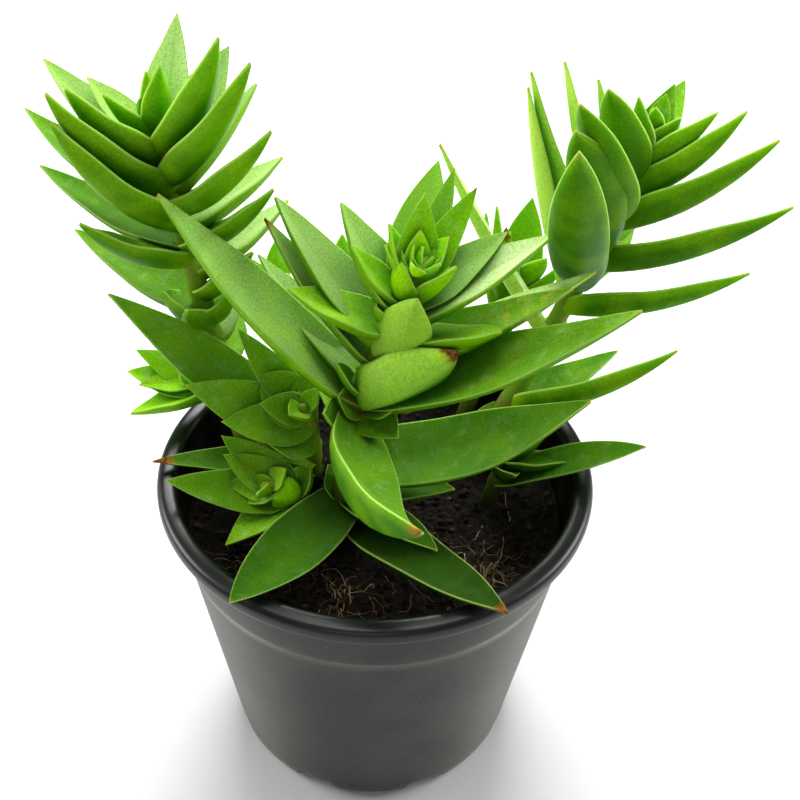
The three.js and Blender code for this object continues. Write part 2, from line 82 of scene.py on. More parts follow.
# Each stem is a bow through its foot, the point it bends towards and its top. A leaf is written as: how far
# up the stem it grows, the compass direction it points in (0 is +X, 90 is +Y), its rise above level, its
# length, its width, how much it curls up along its length, then, where it isn't nought, how far it is
# rolled about its own length, and for a blunt leaf the power of its tip.
# youth says how fresh the lowest and the highest leaves are, from 0, full grown, to 1, just opened.
SHOOTS = [
    {
        "name": "shoot_left",
        "stem": [[-28, 10, STEM_FOOT], [-39, 9, 112], [-48, 16, 166]],
        "radius": [3.1, 1.6],
        "youth": (0.05, 0.4),
        "leaves": [
            [0.3, 60, 12, 22, 10, 8], [0.42, 95, 16, 24, 11, 8], [0.565, -112, 37, 9, 12, 44],
            [0.57, -168, 37, 11, 12, 50], [0.57, -18, 48, 10, 11, 50], [0.5, 75, 30, 16, 10, 15],
            [0.58, 155, 18, 36, 12, 14], [0.62, -30, 44, 22, 9, 12], [0.715, -146, 31, 27, 12, 40],
            [0.67, 40, 18, 28, 11, 12], [0.73, 152, 12, 41, 11, 18], [0.73, -32, 40, 33, 10, 20],
            [0.795, -144, 49, 37, 12, 44], [0.77, 36, 19, 28, 11, 12], [0.82, 148, 14, 44, 11, 24],
            [0.82, -38, 41, 40, 11, 24], [0.865, -142, 48, 35, 12, 38], [0.85, 38, 38, 29, 10, 10],
            [0.88, 145, 26, 38, 12, 16], [0.885, -42, 48, 44, 11, 26], [0.915, -142, 47, 27, 12, 30],
            [0.91, 50, 41, 28, 11, 8, 48], [0.93, 140, 23, 24, 9, 12], [0.925, -48, 52, 41, 11, 22],
            [0.955, -148, 49, 15, 7, 16], [0.935, 66, 65, 27, 9, 8, 48], [0.945, 84, 46, 24, 9, 8, 27],
            [0.97, 135, 85, 12, 6, 6], [0.955, -62, 67, 20, 7, 12], [0.985, -140, 69, 6, 5, 6],
            [0.985, 40, 83, 7, 5, 6],
        ],
    },
    {
        "name": "shoot_right",
        "stem": [[18, 10, STEM_FOOT], [44, 22, 108], [61, 30, 160]],
        "radius": [3.1, 1.5],
        "youth": (0.05, 0.4),
        "leaves": [
            [0.18, 75, 10, 16, 10, 8], [0.31, -8, 29, 44, 9, 34, -34], [0.3, 22, 17, 32, 11, 10],
            [0.42, 62, 8, 22, 9, 10], [0.5, 162, 56, 54, 8, 10], [0.58, -14, 21, 43, 9, 32, -32],
            [0.61, 162, 72, 51, 9, 8], [0.65, -107, 50, 70, 12.5, 44, 32, 4], [0.64, 60, 8, 36, 12, 10],
            [0.69, -14, 26, 47, 10, 36, -32], [0.69, 165, 67, 47, 9, 8],
            [0.705, -119, 58, 48.5, 12.5, 16, 42, 3.6], [0.73, 60, 12, 34, 12, 10],
            [0.785, -14, 37, 41, 10, 34, -28], [0.77, 165, 69, 40, 8, 8],
            [0.79, -124, 54, 46, 12, 12, 8, 4], [0.82, 60, 22, 30, 11, 10],
            [0.85, -14, 45, 32, 9, 32, -26], [0.86, 165, 68, 26, 7, 8],
            [0.875, -132, 59, 31, 11, 9, 26, 2.7], [0.885, 50, 53, 22, 9, 8],
            [0.9, -18, 47, 22, 8, 22, -20], [0.915, 58, 25, 26, 9, 8, 4], [0.935, -135, 69, 16, 7, 14],
            [0.94, -20, 55, 11, 7, 12], [0.955, 165, 80, 7, 5, 6], [0.965, 40, 35, 6, 5, 6],
            [0.985, -120, 75, 6, 5, 5], [0.985, 60, 55, 8, 5, 5],
        ],
    },
    {
        "name": "shoot_centre",
        "stem": [[-8, -9, STEM_FOOT], [-7, -3, 109], [9, -8, 146]],
        "radius": [3.6, 1.8],
        "youth": (0.05, 1.0),
        "leaves": [
            [0.2, -119, 11, 48, 14, -8, -14, 3], [0.2, 60, 10, 26, 12, -6],
            [0.17, -51, 13, 57, 15, 2, 4, 2.2], [0.2, 131, 40, 9, 10, 10], [0.24, -12, 10, 26, 12, 8, 10],
            [0.2, -48, 12, 32, 10, -8, 0, 2.4], [0.32, -5, 24, 58, 19, 14, 16],
            [0.47, -78, 20, 63, 18, 50, -34, 3.2], [0.42, 105, 20, 40, 14, 12],
            [0.48, -128, 33, 15, 10, 20, -46, 3], [0.495, -48, -3, 12, 10, 16, 37],
            [0.455, -98, -1, 9, 7, 20, 0, 3], [0.535, 175, 49, 64, 16, 14, -10],
            [0.535, -22, 35, 69, 15, 20, 26], [0.545, -140, 57, 15, 6, 14, -20, 2.6],
            [0.51, -130, 42, 11, 8, 20, -57, 3.4], [0.515, -50, 27, 12, 7, 20, 56, 3],
            [0.56, -30, 42, 29, 15, 24, -48, 3], [0.58, 145, 36, 38, 12, 14], [0.62, 2, 30, 53, 11, 16],
            [0.67, -6, 29, 45, 13, 16, 8], [0.66, 152, 45, 39, 10, 10],
            [0.72, -56, 57.5, 21.7, 11.4, 26, -27, 2.6], [0.73, 85, 24, 27, 12, 12],
            [0.735, 150, 44, 38, 14, 12], [0.75, -20, 17, 26, 11, 22, -10, 3.4],
            [0.78, 186, 26, 24, 12, 16], [0.8, 5, 32, 38, 13, 14], [0.81, -140, 43, 7, 9, 14],
            [0.84, 138, 48, 25, 12, 10], [0.85, 22, 29, 27, 11, 12], [0.865, 38, 48, 28, 8, 10, 8],
            [0.87, 168, 46, 16, 8, 12], [0.86, 62, 43, 31, 7, 8], [0.88, 76, 30, 34, 12, 8, -10],
            [0.885, -26, 44, 15, 8, 14], [0.9, -112, 70, 9, 9, 22, 0, 2.4],
            [0.905, 20, 83, 22, 9, 8, -54], [0.92, 125, 53, 13, 6, 8], [0.925, 36, 41, 12, 6, 8],
            [0.93, 165, 54, 10, 5, 8], [0.95, 20, 87, 11, 6, 6, -58], [0.94, -150, 45, 6, 4, 10],
            [0.945, -30, 46, 8, 4, 6], [0.96, 140, 51, 6, 4, 6], [0.965, 20, 56, 6, 4, 6],
            [0.975, -100, 36, 10, 4, 6],
        ],
    },
    {
        "name": "offset_front_left",
        "stem": [[-18, -4, STEM_FOOT], [-14, -6, 84], [-26, -12, 87]],
        "radius": [2.4, 1],
        "youth": (0.25, 0.6),
        "leaves": [
            [0.6, -169, 16, 31, 11, 10, -13], [0.62, 10, 62, 8, 8, 20], [0.66, -168, -1, 18, 10, 12, -13],
            [0.6, -140, -13, 21, 10, 6], [0.72, -178, 36, 18, 9, 10, 4], [0.68, 177, 45, 22, 9, 8, 7],
            [0.68, -128, 17, 7, 9, 40, 60, 3], [0.84, 178, -1, 12, 8, 8, -2], [0.88, -160, -28, 8, 6, 8],
            [0.93, 165, 0, 6, 5, 6], [0.96, -130, 1, 4, 4, 6], [0.93, 10, 55, 6, 6, 8],
        ],
    },
    {
        "name": "offset_left",
        "stem": [[-17, 3, STEM_FOOT], [-13, 2, 95], [-17, -5, 105]],
        "radius": [2.4, 1],
        "youth": (0.2, 0.4),
        "leaves": [
            [0.32, -172, 10, 39, 9, -8], [0.42, -177, 48, 64, 16, 6, -14],
            [0.7, -168, 30, 32, 13, 12, -30], [0.74, -156, 18, 22, 11, 12, -30],
            [0.66, -140, 13, 13, 13, 16, -32, 3], [0.74, 160, 52, 28, 9, 10],
            [0.8, 165, 44, 15, 12, 14, -14, 3], [0.88, -160, 27, 12, 8, 10, -24], [0.9, 100, 50, 9, 7, 8],
            [0.95, 30, 55, 6, 5, 6], [0.93, 150, 10, 8, 6, 6, -4], [0.96, -120, 24, 6, 6, 6, -23],
        ],
    },
    {
        "name": "offset_far_left",
        "stem": [[-31, 21, STEM_FOOT], [-34, 22, 88], [-48, 18, 95]],
        "radius": [2.2, 1.4],
        "youth": (0.6, 0.9),
        "leaves": [
            [0.8, 0, 45, 10, 7, 10], [0.8, 178, 11, 20, 10, 10], [0.86, 165, 22, 18, 7, 8],
            [0.8, -152, -4, 20, 10, 10], [0.9, -172, 1, 14, 7, 8], [0.93, 60, 50, 8, 6, 8],
            [0.97, -120, 60, 6, 5, 6],
        ],
    },
    {
        "name": "offset_back_left",
        "stem": [[-18, 34, STEM_FOOT], [-22, 38, 90], [-26, 38, 112]],
        "radius": [2.2, 1.4],
        "youth": (0.4, 0.7),
        "leaves": [
            [0.42, 75, 40, 11, 8, 8], [0.5, -40, 25, 11, 7, 8], [0.62, 110, 30, 13, 8, 8],
            [0.8, 150, 48, 16, 8, 8], [0.8, -30, 40, 12, 8, 8], [0.85, -170, 55, 16, 8, 8],
            [0.85, 10, 45, 12, 7, 8], [0.92, 100, 69, 13, 7, 8], [0.92, -80, 60, 9, 7, 8],
        ],
    },
    {
        "name": "offset_back",
        "stem": [[-4, 32, STEM_FOOT], [-6, 36, 95], [-9, 37, 114]],
        "radius": [2.2, 1.4],
        "youth": (0.5, 0.7),
        "leaves": [
            [0.35, 70, 15, 12, 8, 8], [0.6, 100, 30, 13, 8, 8], [0.78, 190, 45, 11, 7, 8],
            [0.88, 150, 70, 14, 6, 8], [0.88, -30, 50, 12, 6, 8], [0.95, 100, 66, 12, 6, 6],
            [0.95, -80, 60, 9, 5, 6],
        ],
    },
    {
        "name": "offset_back_right",
        "stem": [[20, 30, STEM_FOOT], [29, 36, 92], [35, 38, 116]],
        "radius": [2.4, 1.5],
        "youth": (0.2, 0.5),
        "leaves": [
            [0.42, 150, 20, 14, 8, 8], [0.58, 70, 35, 15, 9, 8], [0.75, 150, 76, 28, 8, 8],
            [0.72, -25, 55, 26, 8, 8], [0.8, 165, 81, 28, 7, 8], [0.82, -110, 71, 28, 9, 10],
            [0.84, 60, 70, 26, 12, 8, -25], [0.92, -60, 50, 18, 8, 8], [0.95, 120, 70, 12, 7, 8],
        ],
    },
    {
        "name": "offset_right",
        "stem": [[25, -1, STEM_FOOT], [29, 0, 78], [33, 3, 89]],
        "radius": [2.2, 1.4],
        "youth": (0.1, 0.4),
        "leaves": [
            [0.58, -11, 27, 38, 9, -8, 26, 2.8], [0.7, 110, 62, 15, 8, 8], [0.7, -70, 30, 9, 7, 8],
            [0.8, -15, 12, 16, 9, 8], [0.85, 8, 42, 14, 8, 8], [0.8, 165, 40, 10, 7, 8],
            [0.95, -60, 50, 7, 5, 6],
        ],
    },
]

# The smallest leaves, still folded round the top of the centre stem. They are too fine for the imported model.
CROWN_SHOOT = "shoot_centre"
CROWN_FROM = 0.87
CROWN_GLOW = 0.4
CROWN_BLEND = 0.03
CROWN_LEAVES = [
    [0.955, 167, 62, 7.5, 5, 14], [0.965, 91, 79, 9.5, 6, 10], [0.955, 11, 55, 10.5, 6, 10],
    [0.93, 154, 66, 13.5, 6, 10], [0.975, -18, 58, 4.5, 3.5, 10], [0.98, -155, 61, 4, 3.5, 10],
    [0.985, -43, 86, 5, 3.5, 8], [0.96, -9, 47, 6.5, 4, 12], [0.97, -165, 33, 5, 4, 14],
]

# Leaves with marks of their own, by the shoot, how far up the stem they grow and their compass direction: the
# gain on how light the leaf is, partly its own tone and mostly painted light and shade, how much of its length
# has dried at the tip, how far it has yellowed in spots, and how far its middle is bowed sideways, as a share
# of its length. What is left out is as on an unmarked leaf.
MARKS = {
    "shoot_centre": {
        (0.56, -30): [1.8, 0.07], (0.47, -78): [0.85, 0.015], (0.17, -51): [0.34, 0.03, 0.1],
        (0.2, -119): [0.75], (0.2, -48): [0.6], (0.32, -5): [0.8, 0, 0, -0.04], (0.535, -22): [0.85],
        (0.865, 38): [0.8, 0.03], (0.67, -6): [1, 0, 1], (0.66, 152): [1, 0.05, 1],
        (0.72, -56): [1.2, 0, 0, 0.09], (0.86, 62): [0.7], (0.88, 76): [0.58], (0.905, 20): [0.62],
        (0.84, 138): [0.85], (0.735, 150): [0.8], (0.85, 22): [0.8], (0.62, 2): [1.4],
        (0.535, 175): [1.25],
    },
    "shoot_right": {
        (0.65, -107): [0.7, 0, 0, -0.03], (0.705, -119): [0.75, 0, 0, 0.05],
        (0.79, -124): [0.8, 0, 0, 0.06], (0.875, -132): [0.8, 0, 0, 0.01], (0.31, -8): [1.5],
        (0.58, -14): [1.2], (0.5, 162): [1.4], (0.61, 162): [1.5], (0.69, 165): [1.5], (0.77, 165): [1.5],
    },
    "offset_back_right": {
        (0.82, -110): [1, 0.12],
    },
    "shoot_left": {
        (0.935, 66): [1.25], (0.88, 145): [0.8], (0.82, 148): [0.5], (0.73, 152): [0.55],
        (0.58, 155): [0.7],
    },
    "offset_left": {
        (0.42, -177): [1.2], (0.32, -172): [0.5, 0.1, 0.5],
    },
    "offset_front_left": {
        (0.68, -128): [1.7], (0.6, -140): [1.2],
    },
    "offset_right": {
        (0.7, -70): [0.5], (0.8, -15): [0.75], (0.7, 110): [0.7],
    },
}
UNMARKED = [1.0, 0.0, 0.0, 0.0]
# Where the leaves are painted pale: the shoot, the least and greatest compass direction of the leaves, how
# pale their upper faces are, partly a bloom of wax and partly painted light where they catch the lamps, and
# how strong the painted sheen is on their undersides.
BLOOM_AND_PAINTED_LIGHT = [
    ("shoot_left", 60, 90, 0.95, 0.3),
    ("shoot_left", 30, 59, 0.6, 0.2),
    ("shoot_left", 140, 145, 0.45, 0.0),
    ("shoot_right", 150, 170, 0.95, 0.8),
    ("shoot_centre", 0, 10, 0.95, 0.1),
    ("shoot_centre", 22, 22, 0.55, 0.1),
    ("shoot_centre", 136, 153, 0.5, 0.1),
    ("shoot_centre", 60, 80, 0.15, 0.1),
    ("shoot_centre", 170, 180, 0.25, 0.0),
    ("shoot_centre", -57, -55, 0.0, 0.4),
    ("shoot_centre", -30, -30, 0.0, 0.38),
]
# The stretch of the centre stem that is scarred and red-brown.
SCAR_SHOOT = "shoot_centre"
SCAR_AT = 0.525
SCAR_SPREAD = 0.035

# How the leaf's own mesh is made.
SECTION_POINTS = 28
RINGS_PER_MM = 0.75
MORE_RINGS = 8
FEWEST_RINGS = 14
MOST_RINGS = 44
LAST_RING = 0.985
RING_CROWDING = 1.15
ROOT_STEPS = [-1.5, -1.2, -0.6]
ROOT_ROUNDING = 1.6
LEAST_CURL = 1e-4
SWAY = 0.025
RIPPLE = (0.01, 0.035)
RIPPLE_PITCH = 9
CHANNEL_POWER = 1.5
TWIST = 0.05
TWIST_PITCH = 11
TWIST_POWER = 3
RIB_DEPTH = 0.16
RIB_WIDTH = 0.55
KEEL_POWER = 1.2
FACE_CHANGE = 5
TOOTH_SPACING = 0.6
TOOTH_LENGTH = 0.22
TOOTH_WIDTH = 0.3
TOOTH_LEAN = 0.1
TOOTH_SEAT = 0.97
TOOTHED_FROM = 13
TOOTHED_SPAN = (0.16, 0.97)
# The mottling starts at another place on every leaf, underside and stem.
LEAVES_A_SHOOT = 50
SKIN_SHIFT = 37.3
UNDER_SHIFT = 4
STEM_SHIFT = 97.3

# How a stem's own mesh is made.
STEM_STEPS = 70
STEM_SIDES = 22
NODE_SPREAD = 1.6
NODE_SWELLING = 0.14

# How fresh and how light the leaves are.
YOUNG_FROM = 0.55
YOUNG_SPAN = 0.4
YOUNG_POWER = 1.5
LIGHT_SPREAD = (0.88, 1.08)

# How the pot's own mesh is made. The shares and angles are a first value, a last one and how many.
POT_SIDES = 256
FLOOR_RINGS = (1, 12, 24)
CORNER_STEPS = ((1.3, 0.25), (0.4, 0.9))
SLOT_END = 2
SLOT_LIP = 0.2
SLOT_CORNER = 0.5
SLOT_SOFTENING = 0.6
SLOT_MOUTH = 0.7
SLOT_BLEND = 2.4
WALL_FROM = 1.6
WALL_RINGS = 20
BAND_SHARES = (0.2, 1, 4)
UPPER_SHARES = (0.1, 0.99, 8)
RIM_ANGLES = (-105, 180, 38)
RIM_SQUARE = 0.75
RIM_UNDERCUT = 0.5
LIP_SHARES = (0.15, 1, 6)
INSIDE_FROM = 4
INSIDE_RINGS = 10
INSIDE_FLOOR_RINGS = (20, 1)

# How the soil's own mesh is made.
SOIL_SIDES = 240
SOIL_RINGS = 76
SOIL_MIDDLE = 0.6
SOIL_EDGE = 0.1
SOIL_FLOOR_RINGS = (1, 20)
SOIL_SIDE_RINGS = 8
SOIL_SIDE_FOOT = 1
SOIL_SIDE_TOP = 4
MOUND_RISE = 1.3
MOUND_SPREAD = 2.2
FOOT_SHARES = (0, 0.6, 61)
BROAD_SHIFT = 1
# The lumps of the soil's surface, coarse to fine, each with its size and rise, and how fast they get finer.
CRUMBLES = ((7, 0.9), (2, 0.9), (0.8, 0.6))
CRUMBLE_FADE = 0.8
CRUMBLE_STEP = 2.1
CRUMBLE_LAYERS = 3

# The loose clods on the soil: their rings' heights and widths, and how ragged, flat, tilted, high, large and
# brown they are.
CLODS = 2800
CLOD_SIDES = 6
CLOD_RINGS = ((-0.5, 0.6), (0, 1), (0.5, 0.6))
CLOD_RAGGED = (0.35, 1.4)
CLOD_FLAT = 0.8
CLOD_TILT = 0.15
CLOD_RAISED = 0.2
CLOD_SIZE = (0.2, 1.1)
CLOD_SIZE_POWER = 4
CLOD_BROWN_POWER = 6
CLOD_MARGIN = 2

# The dry root fibres, the places where more of them lie, each with its spread, and how each one lies.
FIBRES = 210
FIBRE_PLACES = [((25, -24), 5), ((-29, -22), 5), ((-6, -32), 4), ((25, -26), 5), ((0, 0), 24)]
FIBRE_LENGTH = (3, 10)
FIBRE_STEP = 0.9
FIBRE_BEND = 0.35
FIBRE_LIFT = (0.1, 0.5)
FIBRE_RISE = 1.6
FIBRE_THICKNESS = (0.05, 0.13)
FIBRE_TAPER = (1.2, 0.5)
FIBRE_SIDES = 4
FIBRE_MARGIN = 10
FIBRE_PALE_POWER = 2

# How far up a stem its leaves are darkened, partly the darker green of older leaves and partly painted shade
# where they lie low in the plant's shadow.
DARKENED_TO = {
    "shoot_centre": 0.42, "shoot_right": 0.36, "offset_right": 1.9, "offset_front_left": 0.72,
    "offset_left": 0.65,
}
DARKENED_FROM = 0.2
DARKEST = 0.36


def unit(vector):
    return vector / np.linalg.norm(vector)


def filled(row, usual):
    """A row with the usual values for those that it leaves out at its end."""
    return row + usual[len(row):]


def round_angles(count):
    return 2 * math.pi * np.arange(count) / count


def round_points(angle, right, front):
    """Points at these angles on a circle of radius 1, from its two directions."""
    return np.outer(np.cos(angle), right) + np.outer(np.sin(angle), front)


def stem_point(points, share):
    foot, bend, top = (np.array(point, float) for point in points)
    return (1 - share) ** 2 * foot + 2 * share * (1 - share) * bend + share ** 2 * top


def stem_direction(points, share):
    foot, bend, top = (np.array(point, float) for point in points)
    return unit((1 - share) * (bend - foot) + share * (top - bend))


def leaf_outline(share, tip_power):
    """Half the width of a leaf at a share of its length, as a share of its greatest half width."""
    foot = ROOT_SHARE + (CLASP_SHARE - ROOT_SHARE) * np.maximum(share, 0) / CLASP_AT
    rising = np.clip((share - CLASP_AT) / (WIDEST_AT - CLASP_AT), 0, 1)
    falling = np.clip((share - WIDEST_AT) / (1 - WIDEST_AT), 0, 1)
    blade = CLASP_SHARE + (1 - CLASP_SHARE) * np.sin(rising * math.pi / 2) - falling ** tip_power
    return np.where(share < CLASP_AT, foot, blade)


def leaf_thickness(share, width):
    full = THICK_LEAST + THICK_SHARE * width
    return np.maximum(full * (1 - THINNING * share ** THIN_POWER), THINNEST)


class Body:
    """The points, faces, materials and named values of one mesh, gathered piece by piece."""

    def __init__(self):
        self.points = []
        self.faces = []
        self.slots = []
        self.values = []
        self.count = 0

    def add(self, points, faces, slot=0, **values):
        points = np.asarray(points, float)
        self.points.append(points)
        self.faces.extend([[corner + self.count for corner in face] for face in faces])
        self.slots.extend([slot] * len(faces))
        self.values.append((len(points), values))
        self.count += len(points)

    def value(self, name, width):
        """One named value of every point, nought where a piece has none."""
        rows = []
        for count, values in self.values:
            given = values.get(name, 0.0)
            rows.append(np.broadcast_to(np.reshape(given, (-1, width)), (count, width)))
        return np.concatenate(rows).astype(np.float32)


def make_object(name, body, materials):
    """A smooth mesh object from a body in millimetres, with its values as point attributes."""
    mesh = bpy.data.meshes.new(name)
    mesh.from_pydata(np.concatenate(body.points) * MM, [], body.faces)
    names = {key for _, values in body.values for key in values}
    for key in sorted(names):
        vector = key == "skin"
        data = body.value(key, 3 if vector else 1).ravel()
        kind = "FLOAT_VECTOR" if vector else "FLOAT"
        attribute = mesh.attributes.new(key, kind, "POINT")
        attribute.data.foreach_set("vector" if vector else "value", data)
    for material in materials:
        mesh.materials.append(material)
    mesh.polygons.foreach_set("material_index", body.slots)
    mesh.polygons.foreach_set("use_smooth", [True] * len(mesh.polygons))
    mesh.validate()
    mesh.update()
    item = bpy.data.objects.new(name, mesh)
    bpy.context.scene.collection.objects.link(item)
    return item


def finish_piece(name, body, materials, node):
    """The finished mesh of a piece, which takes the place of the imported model's node."""
    item = make_object(name, body, materials)
    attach(item, "root")
    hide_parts(node)


def ring_faces(rings, size, pointed):
    """The faces of a skin over rings of equal size, from a flat end to a flat or a pointed one."""
    faces = [list(range(size))[::-1]]
    for ring in range(rings - 1):
        for k in range(size):
            a = ring * size + k
            b = ring * size + (k + 1) % size
            faces.append([a, b, b + size, a + size])
    last = (rings - 1) * size
    if pointed:
        faces.extend([[last + k, last + (k + 1) % size, rings * size] for k in range(size)])
    else:
        faces.append(list(range(last, last + size)))
    return faces


class Leaf:
    """The bent middle line of a leaf, its directions and its half width at every share of its length."""

    def __init__(self, stem, row, chance):
        at, compass, rise, self.length, self.width, curl, *more = row
        roll, self.tip_power = filled(more, [0, TIP_POWER])
        compass, rise, roll = (math.radians(angle) for angle in (compass, rise, roll))
        self.turn = math.radians(curl) or LEAST_CURL
        self.root = stem_point(stem, at)
        level = math.cos(rise)
        self.chord = np.array([level * math.cos(compass), level * math.sin(compass), math.sin(rise)])
        along = stem_direction(stem, at)
        upper = unit(along - self.chord * (along @ self.chord))
        self.upper = upper * math.cos(roll) + np.cross(self.chord, upper) * math.sin(roll)
        self.side = np.cross(self.upper, self.chord)
        self.sway = chance.uniform(-SWAY, SWAY)
        self.wave = chance.uniform(*RIPPLE)
        self.phase = chance.uniform(0, 2 * math.pi, 3)

    def middle(self, share):
        share = np.asarray(share, float)[..., None]
        start = -self.turn / 2
        angle = start + self.turn * share
        forward = (np.sin(angle) - math.sin(start)) / self.turn
        upward = (math.cos(start) - np.cos(angle)) / self.turn
        sideways = self.sway * np.sin(math.pi * share)
        return self.root + self.length * (forward * self.chord + upward * self.upper + sideways * self.side)

    def square(self, share):
        """The direction square to the middle line, on the upper side."""
        angle = self.turn * (np.asarray(share, float)[..., None] - 0.5)
        return self.upper * np.cos(angle) - self.chord * np.sin(angle)

    def half(self, share):
        ripple = 1 + self.wave * np.sin(RIPPLE_PITCH * share + self.phase[0])
        return leaf_outline(share, self.tip_power) * self.width / 2 * ripple

    def surface(self, share, across, under):
        """Points of the skin. across is -1 to 1, and under is 0 on the upper face and 1 at the keel."""
        rounding = np.sqrt(np.clip(1 + share * self.length / ROOT_ROUNDING, 0, 1))
        half = self.half(share) * rounding
        dish = CHANNEL * half * np.abs(across) ** CHANNEL_POWER
        dish += TWIST * half * np.sin(TWIST_PITCH * share + self.phase[1]) * across ** TWIST_POWER
        rib = RIB_DEPTH * (1 - share) * np.exp(-(across * half / RIB_WIDTH) ** 2) * (1 - under)
        height = dish - rib - leaf_thickness(np.maximum(share, 0), self.width) * under * rounding
        centre = self.middle(share)
        return centre + self.side * (half * across)[..., None] + self.square(share) * height[..., None]


def add_leaf(body, leaf, looks, number):
    """The skin of a leaf, and the row of tiny pale teeth along each margin of a grown one."""
    count = int(np.clip(leaf.length * RINGS_PER_MM + MORE_RINGS, FEWEST_RINGS, MOST_RINGS))
    share = 1 - (1 - np.linspace(0, LAST_RING, count)) ** RING_CROWDING
    # The root is rounded off inside the stem.
    share = np.concatenate([np.array(ROOT_STEPS) / leaf.length, share])
    angle = round_angles(SECTION_POINTS)
    across = np.cos(angle)
    under = np.where(np.sin(angle) < 0, np.abs(np.sin(angle)) ** KEEL_POWER, 0)
    grid_share, grid_across = np.meshgrid(share, across, indexing="ij")
    grid_under = np.broadcast_to(under, grid_share.shape)
    points = leaf.surface(grid_share, grid_across, grid_under).reshape(-1, 3)
    half = leaf.half(grid_share)
    edge = half * (1 - np.abs(grid_across))
    upper = np.broadcast_to(0.5 + 0.5 * np.clip(FACE_CHANGE * np.sin(angle), -1, 1), grid_share.shape)
    start = SKIN_SHIFT * number
    skin = [grid_across * half + start, grid_share * leaf.length, UNDER_SHIFT * grid_under]
    body.add(
        np.concatenate([points, [leaf.middle(1.0)]]),
        ring_faces(len(share), SECTION_POINTS, True),
        edge=np.append(edge, 0),
        along=np.append(grid_share, 1),
        upper=np.append(upper, 0.5),
        middle=np.append(1 - np.abs(grid_across), 0.5),
        skin=np.concatenate([np.stack(skin, -1).reshape(-1, 3), [[start, leaf.length, 0]]]),
        **looks,
    )
    if leaf.length < TOOTHED_FROM:
        return
    first, last = (end * leaf.length for end in TOOTHED_SPAN)
    places = np.arange(first, last, TOOTH_SPACING) / leaf.length
    turn = [[0, 1, 3], [1, 2, 3], [2, 0, 3], [2, 1, 0]]
    faces = [[4 * k + corner for corner in face] for k in range(len(places)) for face in turn]
    for way in (-1, 1):
        foot = leaf.surface(places, np.full(places.shape, way * TOOTH_SEAT), np.zeros(places.shape))
        ahead = np.gradient(foot, axis=0)
        ahead /= np.linalg.norm(ahead, axis=1)[:, None]
        out = np.cross(leaf.square(places), ahead) * -way
        up = np.cross(ahead, out)
        swell = TOOTH_WIDTH / 2
        back = foot - ahead * swell
        corners = [foot + ahead * swell, back + up * swell, back - up * swell]
        point = foot + out * TOOTH_LENGTH + ahead * TOOTH_LEAN
        points = np.stack([*corners, point], 1).reshape(-1, 3)
        row = np.repeat(places, 4)
        spot = np.stack([np.full(row.shape, start), row * leaf.length, 0 * row], -1)
        body.add(points, faces, edge=0.0, along=row, upper=0.5, skin=spot, **looks)


def add_stem(body, shoot, looks, number):
    """A round stem with a slight swelling where each pair of leaves grows."""
    stem, (foot_radius, top_radius) = shoot["stem"], shoot["radius"]
    share = np.linspace(0, 1, STEM_STEPS)
    nodes = sorted({row[0] for row in shoot["leaves"]})
    length = np.linalg.norm(np.diff([stem_point(stem, s) for s in share], axis=0), axis=1).sum()
    angle = round_angles(STEM_SIDES)
    rings = []
    bulges = []
    for s in share:
        bulge = min(sum(math.exp(-((s - node) * length / NODE_SPREAD) ** 2) for node in nodes), 1.0)
        size = (foot_radius + (top_radius - foot_radius) * s) * (1 + NODE_SWELLING * bulge)
        along = stem_direction(stem, s)
        right = unit(np.cross([0, -1, 0], along))
        rings.append(stem_point(stem, s) + size * round_points(angle, right, np.cross(along, right)))
        bulges.append(bulge)
    around = np.tile(angle, STEM_STEPS)
    place = np.repeat(share * length, STEM_SIDES) + STEM_SHIFT * number
    skin = np.stack([foot_radius * np.cos(around), foot_radius * np.sin(around), place], -1)
    top = stem_point(stem, 1) + stem_direction(stem, 1) * top_radius

    def every(values, last):
        """One value for each ring's points and one for the tip."""
        return np.append(np.repeat(values, STEM_SIDES), last)

    # The shade value paints shade low on the stem, as on the leaves.
    body.add(
        np.concatenate([*rings, [top]]),
        ring_faces(STEM_STEPS, STEM_SIDES, True),
        slot=1,
        along=every(share, 1),
        bulge=every(bulges, 0),
        scar=every(scar_of(shoot["name"], share), 0),
        shade=every([darkened(shoot["name"], s) for s in share], 1),
        skin=np.concatenate([skin, skin[-1:]]),
        **looks,
    )


def bloom_and_painted_light_of(name, compass):
    """How pale a leaf's upper face is, with bloom and painted light, and how strong the painted sheen on its
    underside is.
    """
    for shoot, low, high, above, below in BLOOM_AND_PAINTED_LIGHT:
        if shoot == name and low <= compass <= high:
            return above, below
    return 0.0, 0.0


def scar_of(name, at):
    """How red-brown a shoot is at a share of its stem."""
    if name != SCAR_SHOOT:
        return np.zeros(np.shape(at))
    return np.exp(-((np.asarray(at) - SCAR_AT) / SCAR_SPREAD) ** 2)


def darkened(name, at):
    """How bright a leaf is, from DARKEST low on a stem, partly for its age and partly as painted shade, or
    above 1 in the crown.
    """
    if name == CROWN_SHOOT and at > CROWN_FROM:
        return 1 + CROWN_GLOW * min((at - CROWN_FROM) / CROWN_BLEND, 1)
    if name not in DARKENED_TO:
        return 1.0
    grown = np.clip((at - DARKENED_FROM) / (DARKENED_TO[name] - DARKENED_FROM), 0, 1)
    return DARKEST + (1 - DARKEST) * grown


